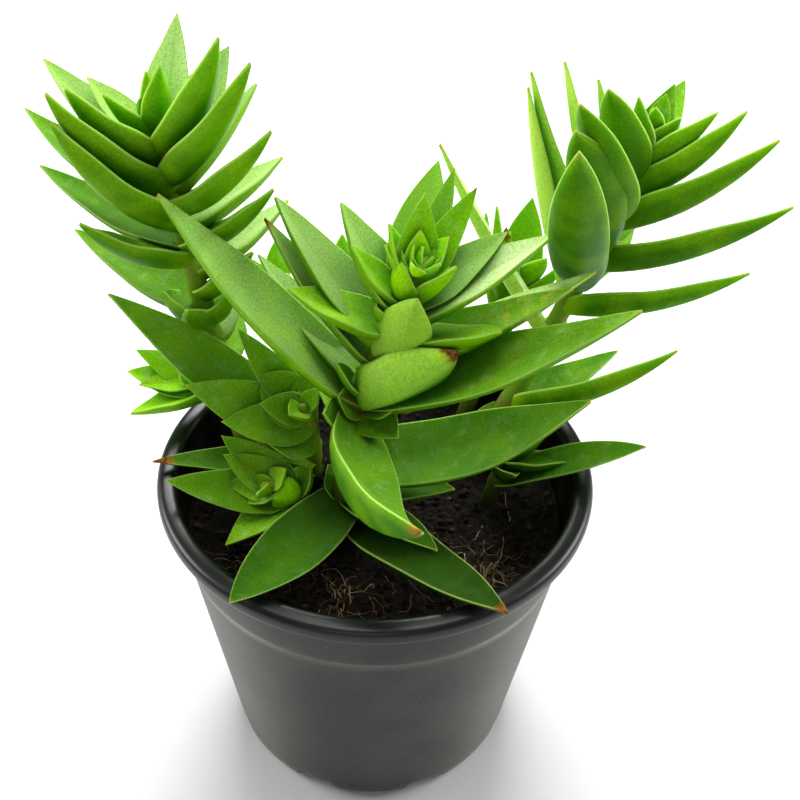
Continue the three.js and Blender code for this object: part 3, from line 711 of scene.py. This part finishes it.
def make_shoot(shoot, number, materials):
    body = Body()
    name, leaves = shoot["name"], shoot["leaves"]
    lowest, highest = shoot["youth"]
    chance = np.random.default_rng(SEED + number)
    add_stem(body, shoot, {"age": lowest}, number)
    if name == CROWN_SHOOT:
        leaves = leaves + CROWN_LEAVES
    for k, row in enumerate(leaves):
        at, compass = row[:2]
        leaf = Leaf(shoot["stem"], row, chance)
        marks = MARKS.get(name, {}).get((at, compass), [])
        # light is the painted light and shade of the leaf, as a gain on its brightness.
        light, dried, yellowed, bowed = filled(marks, UNMARKED)
        leaf.sway += bowed
        above, below = bloom_and_painted_light_of(name, compass)
        fresh = np.clip((at - YOUNG_FROM) / YOUNG_SPAN, 0, 1) ** YOUNG_POWER
        # shade is a random tone times the painted shade low on the stem and the painted light and shade of the
        # marks.
        looks = {
            "age": lowest + (highest - lowest) * fresh,
            "shade": chance.uniform(*LIGHT_SPREAD) * darkened(name, at) * light,
            "dry": dried,
            "yellowed": yellowed,
            "bloom": above,
            "bloom_under": below,
            "scar": float(scar_of(name, at)),
        }
        add_leaf(body, leaf, looks, LEAVES_A_SHOOT * number + k)
    finish_piece(name + "_fresh", body, materials, name)


def body_radius(height):
    """The radius of the pot's outside at a height under its rim."""
    return BASE_RADIUS + (BODY_TOP_RADIUS - BASE_RADIUS) * height / (POT_HEIGHT - RIM_HEIGHT)


def pot_profile():
    """The pot's section from the middle of its underside, up the outside, over the rim and down the inside.

    Each row is a radius and a height, then the radius and height that they have in a drainage slot.
    """
    band = POT_HEIGHT - RIM_HEIGHT - BAND_BELOW_RIM
    slot_radius = BASE_RADIUS - SLOT_DEPTH + SLOT_OVERCUT
    # The underside and the foot's rounded corner, over the slot's roof.
    rows = [[radius, 0] * 2 for radius in (*FLOOR_RINGS, slot_radius - SLOT_END)]
    rows.append([FLOOR_RADIUS, 0, slot_radius - SLOT_SOFTENING / 2, SLOT_LIP])
    rows.append([BASE_RADIUS - BASE_CORNER, 0, slot_radius, SLOT_HEIGHT - SLOT_CORNER])
    roof = (slot_radius + SLOT_SOFTENING, body_radius(SLOT_HEIGHT) - SLOT_MOUTH)
    for (inward, up), end in zip(CORNER_STEPS, roof):
        rows.append([BASE_RADIUS - inward, up, end, SLOT_HEIGHT])
    slot_top = [body_radius(SLOT_HEIGHT), SLOT_HEIGHT + SLOT_SOFTENING]
    rows.append([body_radius(BASE_CORNER), BASE_CORNER, *slot_top])
    # The wall, with the step of its band.
    wall = np.linspace(SLOT_HEIGHT + WALL_FROM, band, WALL_RINGS)
    rows.extend([body_radius(height), height] * 2 for height in wall)
    for share in np.linspace(*BAND_SHARES):
        out = BAND_STEP * math.sin(share * math.pi / 2)
        rows.append([body_radius(band) + out, band + BAND_STEP * share] * 2)
    for share in np.linspace(*UPPER_SHARES):
        height = band + BAND_STEP + share * (BAND_BELOW_RIM - BAND_STEP)
        rows.append([body_radius(height) + BAND_STEP * (1 - share), height] * 2)
    # The rolled rim and the inside.
    middle_radius = RIM_RADIUS - RIM_LIP_WIDTH / 2
    middle_height = POT_HEIGHT - RIM_HEIGHT / 2
    for angle in np.radians(np.linspace(*RIM_ANGLES)):
        turns = (math.cos(angle), math.sin(angle))
        across, up = (math.copysign(abs(turn) ** RIM_SQUARE, turn) for turn in turns)
        rows.append([middle_radius + across * RIM_LIP_WIDTH / 2, middle_height + up * RIM_HEIGHT / 2] * 2)
    lip = RIM_RADIUS - RIM_LIP_WIDTH
    for share in np.linspace(*LIP_SHARES):
        radius = lip + (body_radius(band) - WALL - lip) * share
        rows.append([radius, middle_height + (band - middle_height) * share] * 2)
    inside = np.linspace(band - INSIDE_FROM, BASE_CORNER, INSIDE_RINGS)
    rows.extend([body_radius(height) - WALL, height] * 2 for height in inside)
    rows.extend([radius, WALL] * 2 for radius in (FLOOR_RADIUS, *INSIDE_FLOOR_RINGS))
    return np.array(rows)


def make_pot(materials):
    rows = pot_profile()
    angle = round_angles(POT_SIDES)
    pitch = 2 * math.pi / SLOT_COUNT
    from_slot = np.abs(angle % pitch - pitch / 2) * BASE_RADIUS
    into = np.clip((SLOT_WIDTH / 2 + SLOT_BLEND / 2 - from_slot) / SLOT_BLEND, 0, 1)
    into = into * into * (3 - 2 * into)
    radius = rows[:, :1] + (rows[:, 2:3] - rows[:, :1]) * into
    height = rows[:, 1:2] + (rows[:, 3:] - rows[:, 1:2]) * into
    points = np.stack([radius * np.cos(angle), radius * np.sin(angle), height], -1).reshape(-1, 3)
    crest = int(np.argmax(rows[:, 1]))
    body = Body()
    body.add(points, ring_faces(len(rows), POT_SIDES, False))
    # The rim and the inside are satin black, darker than the wall, partly their own satin black and partly
    # painted shade, and the rest of the outside is dusty.
    below_rim = np.repeat(rows[:-1, 1] < POT_HEIGHT - RIM_HEIGHT - RIM_UNDERCUT, POT_SIDES)
    outside = np.repeat(np.arange(len(rows) - 1) < crest, POT_SIDES)
    body.slots = [0, *np.where(below_rim & outside, 0, 1).tolist(), 1]
    finish_piece("pot_shell", body, materials, "pot")


def stem_feet():
    """Where each stem comes out of the soil, and how thick it is there."""
    feet = []
    for shoot in SHOOTS:
        points = np.array([stem_point(shoot["stem"], share) for share in np.linspace(*FOOT_SHARES)])
        place = points[np.argmin(np.abs(points[:, 2] - SOIL_TOP))]
        feet.append((place[0], place[1], shoot["radius"][0]))
    return feet


def crumbly_height(x, y, feet):
    """The soil's surface with its clods, and a low mound round every stem."""
    broad = math.sin(BROAD_WAVE * x + BROAD_SHIFT) * math.cos(CROSS_WAVE * y)
    short = math.sin(SHORT_WAVE * y - BROAD_WAVE * x) / 2
    height = SOIL_TOP + SOIL_SWELL * (broad + short)
    for size, rise in CRUMBLES:
        height += rise * fractal(Vector((x, y, 0)) / size, CRUMBLE_FADE, CRUMBLE_STEP, CRUMBLE_LAYERS)
    for foot_x, foot_y, thickness in feet:
        away = max(math.hypot(x - foot_x, y - foot_y) - thickness, 0)
        height += MOUND_RISE * math.exp(-((away / MOUND_SPREAD) ** 2))
    return height


def add_clod(body, place, size, chance):
    """A small rough lump of soil."""
    angle = round_angles(CLOD_SIDES) + chance.uniform(0, 1)
    rings = []
    for height, width in CLOD_RINGS:
        reach = width * chance.uniform(*CLOD_RAGGED, CLOD_SIDES)
        tall = height * CLOD_FLAT + chance.uniform(-CLOD_TILT, CLOD_TILT, CLOD_SIDES)
        rings.append(np.stack([reach * np.cos(angle), reach * np.sin(angle) * CLOD_FLAT, tall], -1))
    brown = chance.uniform(0, 1) ** CLOD_BROWN_POWER
    faces = ring_faces(len(CLOD_RINGS), CLOD_SIDES, False)
    body.add(np.concatenate(rings) * size + place, faces, tint=brown, skin=place)


def add_fibre(body, start, length, chance, ground):
    """A thin dry root lying in bends on the soil, with its ends in the air."""
    steps = int(length / FIBRE_STEP) + 2
    heading = chance.uniform(0, 2 * math.pi) + np.cumsum(chance.normal(0, FIBRE_BEND, steps))
    path = start + np.cumsum(FIBRE_STEP * np.stack([np.cos(heading), np.sin(heading)], -1), axis=0)
    lift = chance.uniform(*FIBRE_LIFT) + chance.uniform(0, FIBRE_RISE) * np.linspace(-0.5, 1, steps) ** 2
    thickness = chance.uniform(*FIBRE_THICKNESS) * np.linspace(*FIBRE_TAPER, steps)
    corners = round_angles(FIBRE_SIDES)
    rings = []
    for k in range(steps):
        side = np.array([-math.sin(heading[k]), math.cos(heading[k]), 0])
        middle = np.array([*path[k], ground(*path[k]) + lift[k]])
        rings.append(middle + thickness[k] * round_points(corners, side, [0, 0, 1]))
    pale = chance.uniform(0, 1) ** FIBRE_PALE_POWER
    faces = ring_faces(steps, FIBRE_SIDES, False)
    body.add(np.concatenate(rings), faces, slot=1, tint=pale, skin=rings[0][0])


def make_soil(materials):
    chance = np.random.default_rng(SEED)
    feet = stem_feet()

    def ground(x, y):
        return crumbly_height(x, y, feet)

    low = WALL + GAP
    outline = [(radius, low) for radius in (*SOIL_FLOOR_RINGS, FLOOR_RADIUS - GAP)]
    side = np.linspace(BASE_CORNER + SOIL_SIDE_FOOT, SOIL_TOP - SOIL_SIDE_TOP, SOIL_SIDE_RINGS)
    outline.extend((body_radius(height) - WALL - GAP, height) for height in side)
    edge = body_radius(SOIL_TOP) - WALL - GAP
    outline.extend((radius, None) for radius in np.linspace(edge - SOIL_EDGE, SOIL_MIDDLE, SOIL_RINGS))
    points = []
    for radius, height in outline:
        for angle in round_angles(SOIL_SIDES):
            x, y = radius * math.cos(angle), radius * math.sin(angle)
            points.append((x, y, ground(x, y) if height is None else height))
    body = Body()
    body.add(points, ring_faces(len(outline), SOIL_SIDES, False), tint=0.0, skin=points)
    smallest, growth = CLOD_SIZE
    for _ in range(CLODS):
        away = (edge - CLOD_MARGIN) * math.sqrt(chance.uniform())
        angle = chance.uniform(0, 2 * math.pi)
        x, y = away * math.cos(angle), away * math.sin(angle)
        size = smallest + growth * chance.uniform() ** CLOD_SIZE_POWER
        add_clod(body, np.array([x, y, ground(x, y) + CLOD_RAISED * size]), size, chance)
    for number in range(FIBRES):
        centre, spread = FIBRE_PLACES[number % len(FIBRE_PLACES)]
        start = np.array(centre) + chance.normal(0, spread, 2)
        start = start * min(1, (edge - FIBRE_MARGIN) / np.linalg.norm(start))
        add_fibre(body, start, chance.uniform(*FIBRE_LENGTH), chance, ground)
    finish_piece("peat_fill", body, materials, "soil")


# How the materials are built.
def colour(red, green, blue):
    """A colour as it is seen, 0 to 255 a channel, as the linear values that a shader takes."""
    shares = [value / 255 for value in (red, green, blue)]
    linear = [s / 12.92 if s <= 0.04045 else ((s + 0.055) / 1.055) ** 2.4 for s in shares]
    return (*linear, 1.0)


def fill(tree, node, values):
    """Sets or links a node's inputs, each given as a value or as the output that feeds it."""
    for key, value in values.items():
        socket = node.inputs[key]
        if isinstance(value, bpy.types.NodeSocket):
            tree.links.new(value, socket)
        else:
            socket.default_value = value


def add_node(tree, kind, values=None, **settings):
    node = tree.nodes.new("ShaderNode" + kind)
    for key, value in settings.items():
        setattr(node, key, value)
    fill(tree, node, values or {})
    return node


def mixed(tree, share, first, second, mode="MIX"):
    values = {0: share, 6: first, 7: second}
    return add_node(tree, "Mix", values, data_type="RGBA", blend_type=mode).outputs[2]


# What a value has to be for a mark to begin and to be full, and how strong the mark is at each, which is
# left out where it goes from nothing to full.
STEPS = {
    "blotch": (0.38, 0.68),
    "fleck": (0.3, 0.7, 0.55, 1.45),
    # The next two paint shade at the underside's foot and light at its thin edges.
    "deep foot": (0.75, 0.2, 0, 0.4),
    "thin edge": (1.6, 0.1, 0, 0.5),
    "upper face": (0.3, 0.9),
    "bloom patch": (0.48, 0.72, 0, 0.26),
    "pale foot": (0.16, 0.02, 0, 0.7),
    "midrib": (0.9, 0.99, 0, 0.3),
    "midrib face": (0.6, 0.9),
    "pore": (0.25, 0.08),
    "pore size": (0.3, 0.8),
    "pore face": (0.2, 0.9, 0.35, 1),
    "pore age": (1, 0.2, 0.1, 0.6),
    "yellow spot": (0.52, 0.64),
    "yellow reach": (0.4, 0.7, 0, 0.75),
    # These four paint shade on the leaves: on darker leaves, at their foot, in their hue and in crevices.
    "dark leaf": (0.85, 0.4),
    "dark foot": (0, 0.85, 0.7, 1.35),
    "less yellow": (0.3, 1, 0.72, 1),
    "crevice": (0.95, 0.1),
    "margin": (0.16, 0.02, 0, 0.62),
    "scarred foot": (0.2, 0, 0, 0.8),
    "tip": (0.965, 1, 0, 0.6),
    "dried at all": (0.005, 0.012),
    "reddened": (-0.05, 0, 0, 0.55),
    "withered": (-0.02, 0.02),
    "crust": (0.4, 0.6),
    "leaf roughness": (0.3, 0.7, 0.34, 0.5),
    "upper roughness": (0.2, 0.8, 0, 0.24),
    "leaf scar": (0.7, 1, 0, 0.3),
    "stem scar": (0.1, 0.8, 0, 0.92),
    # The foot of a stem is dark with peat, with painted shade above it.
    "peat_and_painted_shade": (SOIL_TOP + 18, SOIL_TOP + 1, 0, 0.88),
    "dust": (0.5, 0.75, 0, 0.35),
    "dusty foot": (16, 0),
    "speck": (0.07, 0.03),
    "speck here": (0.62, 0.8),
    "wall roughness": (0.3, 0.7, 0.42, 0.56),
    "rim roughness": (0.3, 0.7, 0.3, 0.36),
}


def step(tree, value, name):
    """A mark that comes in smoothly as the value goes from the start to the end of its row in STEPS."""
    low, high, *ends = STEPS[name]
    start, end = filled(ends, [0.0, 1.0])
    values = {"Value": value, "From Min": low, "From Max": high, "To Min": start, "To Max": end}
    return add_node(tree, "MapRange", values, interpolation_type="SMOOTHSTEP").outputs[0]


def worked(tree, operation, first, second):
    return add_node(tree, "Math", {0: first, 1: second}, operation=operation).outputs[0]


def both(tree, first, *others):
    """The product of several masks."""
    for other in others:
        first = worked(tree, "MULTIPLY", first, other)
    return first


def layered(tree, base, *layers):
    """A colour with others over it, each given as its mask and its colour."""
    for mask, tone in layers:
        base = mixed(tree, mask, base, tone)
    return base


def tinted(tree, base, tone):
    return mixed(tree, 1.0, base, tone, "MULTIPLY")


def read(tree, name, vector=False):
    node = add_node(tree, "Attribute", attribute_name=name)
    return node.outputs["Vector" if vector else "Fac"]


def noise(tree, place, scale, detail=3.0, rough=0.5):
    values = {"Vector": place, "Scale": scale, "Detail": detail, "Roughness": rough}
    return add_node(tree, "TexNoise", values).outputs["Fac"]


def grey(tree, value):
    return add_node(tree, "CombineColor", {0: value, 1: value, 2: value}).outputs[0]


def height_of(tree, place):
    return add_node(tree, "SeparateXYZ", {0: place}).outputs[2]


def in_millimetres(tree):
    place = add_node(tree, "TexCoord").outputs["Object"]
    return add_node(tree, "VectorMath", {0: place, 3: 1 / MM}, operation="SCALE").outputs[0]


def bumped(tree, height, distance, normal=None):
    values = {"Height": height, "Distance": distance * MM}
    if normal is not None:
        values["Normal"] = normal
    return add_node(tree, "Bump", values).outputs[0]


def make_material(surface):
    """A material with the name of the function that says what goes into its shader."""
    material = bpy.data.materials.new(surface.__name__)
    material.use_nodes = True
    tree = material.node_tree
    fill(tree, tree.nodes["Principled BSDF"], surface(tree))
    return material


# The scale and amount of the blotches, and the scale and amount of the flecks.
MOTTLE_SIZES = ("Blotch Scale", "Blotch Amount", "Fleck Scale", "Fleck Amount")
MOTTLES = {
    "leaf": (0.12, 0.6, 1.6, 0.34),
    "stem": (0.35, 0.5, 2.2, 0.25),
    "pot": (0.06, 0.6, 2.5, 0.14),
    "peat": (0.9, 0.4, 2.6, 0.9),
    "fibre": (0.5, 0.5, 4.0, 0.3),
}


def mottling_group():
    """Soft blotches and fine flecks over a colour, as all grown and moulded things here have."""
    inputs = {"Place": "Vector", "Colour": "Color", "Blotch": "Color", **dict.fromkeys(MOTTLE_SIZES, "Float")}
    tree = bpy.data.node_groups.new("mottling", "ShaderNodeTree")
    for way, sockets in (("INPUT", inputs), ("OUTPUT", {"Colour": "Color", "Fine": "Float"})):
        for label, kind in sockets.items():
            tree.interface.new_socket(label, in_out=way, socket_type="NodeSocket" + kind)
    given = tree.nodes.new("NodeGroupInput").outputs
    blotch = step(tree, noise(tree, given["Place"], given["Blotch Scale"]), "blotch")
    blotched = mixed(tree, both(tree, blotch, given["Blotch Amount"]), given["Colour"], given["Blotch"])
    fine = noise(tree, given["Place"], given["Fleck Scale"], detail=4, rough=0.65)
    flecked = tinted(tree, blotched, grey(tree, step(tree, fine, "fleck")))
    mottle = {"Colour": mixed(tree, given["Fleck Amount"], blotched, flecked), "Fine": fine}
    fill(tree, tree.nodes.new("NodeGroupOutput"), mottle)
    return tree


MOTTLING = mottling_group()


def mottled(tree, kind, place, base, blotch):
    """The colour and the fine pattern of a mottled surface."""
    node = add_node(tree, "Group", node_tree=MOTTLING)
    fill(tree, node, {"Place": place, "Colour": base, "Blotch": blotch})
    fill(tree, node, dict(zip(MOTTLE_SIZES, MOTTLES[kind])))
    return node.outputs["Colour"], node.outputs["Fine"]


OLD_UNDER = colour(62, 128, 0)
YOUNG_UNDER = colour(150, 222, 0)
# Painted shade at the foot of the underside.
SHADED_FOOT_GREEN = colour(20, 66, 0)
# The midrib's own green, and painted light at the thin edges of the underside.
THIN_GREEN = colour(132, 190, 20)
OLD_UPPER = colour(108, 166, 36)
YOUNG_UPPER = colour(158, 226, 20)
LEAF_FOOT = colour(150, 196, 20)
MARGIN_PALE = colour(190, 228, 110)
DOT_GREEN = colour(40, 84, 14)
YELLOWED_GREEN = colour(158, 206, 10)
YELLOWED_SHARE = 0.5
# Pale bloom, and painted light on leaves that catch the lamps.
BLOOM_AND_LIGHT_PALE = colour(200, 226, 158)
# Painted sheen on the undersides, a reflection of the bright surroundings.
PAINTED_SHEEN_TONE = colour(190, 226, 96)
SPOT_YELLOW = colour(196, 196, 60)
SCAR_BROWN = colour(92, 42, 14)
TIP_TAN = colour(170, 140, 60)
DRY_BROWN = colour(148, 92, 48)
DRY_DARK = colour(66, 34, 18)
DRY_RED = colour(168, 66, 24)
# How far the painted shade reaches between leaves that lie close together, and the tone that it paints.
CREVICE = 7
CREVICE_SHADE_TONE = (0.36, 0.57, 0.24, 1.0)
UNCHANGED = (1.0, 1.0, 1.0, 1.0)
DRY_FROM = 1.04
DRY_RAGGED = 0.08
CRUST_ROUGHNESS = 0.3
SKIN_RELIEF = 0.12
PORE_DEPTH = 0.08
WALL_RELIEF = 0.04
RIM_RELIEF = 0.008
PEAT_RELIEF = 0.5


def leaf_colours(tree, skin, age, along, edge, upper):
    """The green of the underside and of the upper face, with painted shade at the underside's foot, painted
    light at its thin edges, and a pale layer: bloom and painted light on the upper face, painted sheen on the
    underside.
    """
    # Painted shade darkens the underside towards its foot, and painted light, as light shining through, makes
    # its thin edges lighter.
    deep = (step(tree, along, "deep foot"), SHADED_FOOT_GREEN)
    thin = (step(tree, edge, "thin edge"), THIN_GREEN)
    under = layered(tree, mixed(tree, age, OLD_UNDER, YOUNG_UNDER), deep, thin)
    base = mixed(tree, upper, under, mixed(tree, age, OLD_UPPER, YOUNG_UPPER))
    above = step(tree, upper, "upper face")
    patches = step(tree, noise(tree, skin, scale=0.3, detail=4, rough=0.6), "bloom patch")
    # The bloom value is partly bloom and partly painted light; the patches are bloom.
    on_face = worked(tree, "MAXIMUM", read(tree, "bloom"), patches)
    # The underside's pale layer is painted sheen, a reflection of the bright surroundings.
    bloom_and_painted_light = mixed(tree, above, grey(tree, read(tree, "bloom_under")), grey(tree, on_face))
    return mixed(tree, bloom_and_painted_light, base, mixed(tree, above, PAINTED_SHEEN_TONE, BLOOM_AND_LIGHT_PALE))


def leaf_light(tree, base, along):
    """Painted shade: the shade value darkens the colour, darker leaves are darkest at the foot and less
    yellow, and the colour darkens in crevices.
    """
    shade = read(tree, "shade")
    foot = grey(tree, step(tree, along, "dark foot"))
    shade = both(tree, shade, mixed(tree, step(tree, shade, "dark leaf"), UNCHANGED, foot))
    cool = both(tree, shade, step(tree, shade, "less yellow"))
    tone = add_node(tree, "CombineColor", {0: cool, 1: shade, 2: cool}).outputs[0]
    base = tinted(tree, base, tone)
    # The colour darkens in crevices, as painted shade.
    reach = {"Distance": CREVICE * MM}
    crevice_shade = add_node(tree, "AmbientOcclusion", reach, samples=4, only_local=True).outputs["AO"]
    return mixed(tree, step(tree, crevice_shade, "crevice"), base, tinted(tree, base, CREVICE_SHADE_TONE))


def withering(tree, base, skin, along, fine):
    """The dead tip with its red border, and how withered the skin is."""
    dry = read(tree, "dry")
    ragged = both(tree, noise(tree, skin, scale=0.8, detail=2), DRY_RAGGED)
    start = worked(tree, "SUBTRACT", DRY_FROM, dry)
    reach = worked(tree, "SUBTRACT", worked(tree, "ADD", along, ragged), start)
    has_dry = step(tree, dry, "dried at all")
    base = mixed(tree, both(tree, step(tree, reach, "reddened"), has_dry), base, DRY_RED)
    withered = both(tree, step(tree, reach, "withered"), has_dry)
    crust = mixed(tree, step(tree, fine, "crust"), DRY_DARK, DRY_BROWN)
    return mixed(tree, withered, base, crust), withered


def leaf_skin(tree):
    skin = read(tree, "skin", True)
    age, along, edge, upper = (read(tree, name) for name in ("age", "along", "edge", "upper"))
    base = leaf_colours(tree, skin, age, along, edge, upper)
    yellower = mixed(tree, YELLOWED_SHARE, base, YELLOWED_GREEN)
    base, fine = mottled(tree, "leaf", skin, base, yellower)
    foot = (step(tree, along, "pale foot"), LEAF_FOOT)
    rib = both(tree, step(tree, read(tree, "middle"), "midrib"), step(tree, upper, "midrib face"))
    # Fine sunken dots, the leaf's water pores, all over the upper face.
    cells = {"Vector": skin, "Scale": 1.5, "Randomness": 1.0}
    pores = add_node(tree, "TexVoronoi", cells, feature="F1", voronoi_dimensions="2D").outputs
    dots = both(
        tree,
        step(tree, pores["Distance"], "pore"),
        step(tree, pores["Color"], "pore size"),
        step(tree, upper, "pore face"),
        step(tree, age, "pore age"),
    )
    spots = step(tree, noise(tree, skin, scale=0.45, rough=0.6), "yellow spot")
    spots = both(tree, spots, read(tree, "yellowed"), step(tree, along, "yellow reach"))
    base = layered(tree, base, foot, (rib, THIN_GREEN), (dots, DOT_GREEN), (spots, SPOT_YELLOW))
    margin = (step(tree, edge, "margin"), MARGIN_PALE)
    scar = (both(tree, step(tree, along, "scarred foot"), read(tree, "scar")), SCAR_BROWN)
    tip = (step(tree, along, "tip"), TIP_TAN)
    base = layered(tree, leaf_light(tree, base, along), margin, scar, tip)
    base, withered = withering(tree, base, skin, along, fine)
    rough = worked(tree, "ADD", step(tree, fine, "leaf roughness"), step(tree, upper, "upper roughness"))
    rough = worked(tree, "ADD", rough, both(tree, withered, CRUST_ROUGHNESS))
    return {
        "Base Color": base,
        "Roughness": rough,
        "Normal": bumped(tree, both(tree, dots, -1.0), PORE_DEPTH, bumped(tree, fine, SKIN_RELIEF)),
        "Specular IOR Level": 0.09,
        "IOR": 1.4,
        "Subsurface Weight": 0.22,
        "Subsurface Scale": 3 * MM,
        "Subsurface Radius": (0.5, 1.0, 0.1),
    }


def stem_skin(tree):
    green = mixed(tree, read(tree, "age"), colour(112, 156, 16), colour(152, 196, 30))
    base, fine = mottled(tree, "stem", read(tree, "skin", True), green, colour(140, 140, 50))
    ring = (step(tree, read(tree, "bulge"), "leaf scar"), colour(150, 110, 50))
    base = layered(tree, base, ring, (step(tree, read(tree, "scar"), "stem scar"), SCAR_BROWN))
    # Painted shade, darker low on the stem.
    base = tinted(tree, base, grey(tree, read(tree, "shade")))
    # The foot is dark, partly with peat and partly with painted shade.
    peat_and_painted_shade = step(tree, height_of(tree, in_millimetres(tree)), "peat_and_painted_shade")
    return {
        "Base Color": mixed(tree, peat_and_painted_shade, base, colour(30, 26, 12)),
        "Roughness": 0.5,
        "Normal": bumped(tree, fine, SKIN_RELIEF),
        "Specular IOR Level": 0.25,
        "Subsurface Weight": 0.1,
        "Subsurface Scale": 1.5 * MM,
    }


def pot_wall(tree):
    """Matt black plastic, greyed by dust and fine scratches."""
    place = in_millimetres(tree)
    base, fine = mottled(tree, "pot", place, colour(32, 35, 30), colour(54, 56, 50))
    dust = step(tree, noise(tree, place, scale=0.5, detail=5, rough=0.7), "dust")
    dust = both(tree, dust, step(tree, height_of(tree, place), "dusty foot"))
    cells = add_node(tree, "TexVoronoi", {"Vector": place, "Scale": 0.3}, feature="F1").outputs
    specks = both(tree, step(tree, cells["Distance"], "speck"), step(tree, cells["Color"], "speck here"))
    return {
        "Base Color": layered(tree, base, (dust, colour(128, 122, 108)), (specks, colour(168, 166, 156))),
        "Roughness": step(tree, fine, "wall roughness"),
        "Normal": bumped(tree, fine, WALL_RELIEF),
        "Specular IOR Level": 0.3,
        "Sheen Weight": 0.3,
        "Sheen Roughness": 0.35,
        "Sheen Tint": (0.95, 1.0, 0.9, 1.0),
    }


def pot_rim(tree):
    """Satin black plastic, on the rolled rim and the inside, darker than the wall partly as painted shade."""
    base, fine = mottled(tree, "pot", in_millimetres(tree), colour(11, 13, 12), colour(20, 22, 21))
    rough, relief = step(tree, fine, "rim roughness"), bumped(tree, fine, RIM_RELIEF)
    return {"Base Color": base, "Roughness": rough, "Normal": relief, "Specular IOR Level": 0.4}


def peat(tree):
    base = mixed(tree, read(tree, "tint"), colour(11, 10, 7), colour(84, 66, 38))
    base, fine = mottled(tree, "peat", in_millimetres(tree), base, colour(54, 44, 27))
    relief = bumped(tree, fine, PEAT_RELIEF)
    return {"Base Color": base, "Roughness": 0.95, "Normal": relief, "Specular IOR Level": 0.2}


def dry_root_fibre(tree):
    base = mixed(tree, read(tree, "tint"), colour(70, 50, 28), colour(206, 180, 132))
    base, _ = mottled(tree, "fibre", in_millimetres(tree), base, colour(60, 42, 24))
    return {"Base Color": base, "Roughness": 0.8, "Specular IOR Level": 0.3}


def pale_floor(tree):
    cloud = noise(tree, add_node(tree, "TexCoord").outputs["Object"], scale=30.0)
    return {"Base Color": mixed(tree, cloud, colour(218, 218, 218), colour(224, 224, 224)), "Roughness": 0.7}


FLOOR_REACH = 4000
FLOOR_DROP = 0.02
WORLD_LIGHT = 0.22
CLIP = (0.01, 20)
CAMERA_PLACE = (0.0, -200.5, 266.0)
CAMERA_DOWN = 38.98
CAMERA_YAW = 1.49
CAMERA_ROLL = 1.99
IMAGE_SIZE = 800
FOCAL_PIXELS = 1115
SENSOR = 36.0
# Each light's name, its place and the height it looks at in metres, its width and its power.
LIGHTS = [
    ("behind", (0.0, 0.75, 0.8), 0.1, 0.7, 13),
    ("left_side", (-0.8, 0.2, 0.5), 0.08, 0.5, 6),
    ("right_side", (0.8, 0.2, 0.5), 0.08, 0.5, 6),
    ("overhead", (0.0, 0.05, 1.0), 0.08, 0.6, 4),
    ("front_fill", (-0.1, -0.8, 0.55), 0.08, 0.6, 0.8),
]


def make_floor():
    body = Body()
    corners = ((-1, -1), (1, -1), (1, 1), (-1, 1))
    body.add([[x * FLOOR_REACH, y * FLOOR_REACH, -FLOOR_DROP] for x, y in corners], [[0, 1, 2, 3]])
    make_object("floor", body, [make_material(pale_floor)])


def make_light(name, place, target_height, size, power):
    data = bpy.data.lights.new(name, "AREA")
    data.shape = "DISK"
    data.size = size
    data.energy = power
    light = bpy.data.objects.new(name, data)
    light.location = place
    look = Vector((0, 0, target_height)) - Vector(place)
    light.rotation_euler = look.to_track_quat("-Z", "Y").to_euler()
    bpy.context.scene.collection.objects.link(light)


def make_camera():
    data = bpy.data.cameras.new("camera")
    data.sensor_width = SENSOR
    data.lens = SENSOR * FOCAL_PIXELS / IMAGE_SIZE
    data.clip_start, data.clip_end = CLIP
    camera = bpy.data.objects.new("camera", data)
    turn = Matrix.Rotation(math.radians(-CAMERA_YAW), 4, "Z")
    turn @= Matrix.Rotation(math.radians(90 - CAMERA_DOWN), 4, "X")
    turn @= Matrix.Rotation(math.radians(CAMERA_ROLL), 4, "Z")
    camera.matrix_world = Matrix.Translation(Vector(CAMERA_PLACE) * MM) @ turn
    bpy.context.scene.collection.objects.link(camera)
    bpy.context.scene.camera = camera


def make_world():
    world = bpy.data.worlds.new("studio")
    world.use_nodes = True
    background = world.node_tree.nodes["Background"]
    background.inputs["Color"].default_value = (1, 1, 1, 1)
    background.inputs["Strength"].default_value = WORLD_LIGHT
    bpy.context.scene.world = world
    bpy.context.scene.view_settings.view_transform = "Standard"


plant_materials = [make_material(leaf_skin), make_material(stem_skin)]
for index, shoot in enumerate(SHOOTS):
    make_shoot(shoot, index, plant_materials)
make_pot([make_material(pot_wall), make_material(pot_rim)])
make_soil([make_material(peat), make_material(dry_root_fibre)])

make_floor()
make_world()
make_camera()
for light_row in LIGHTS:
    make_light(*light_row)
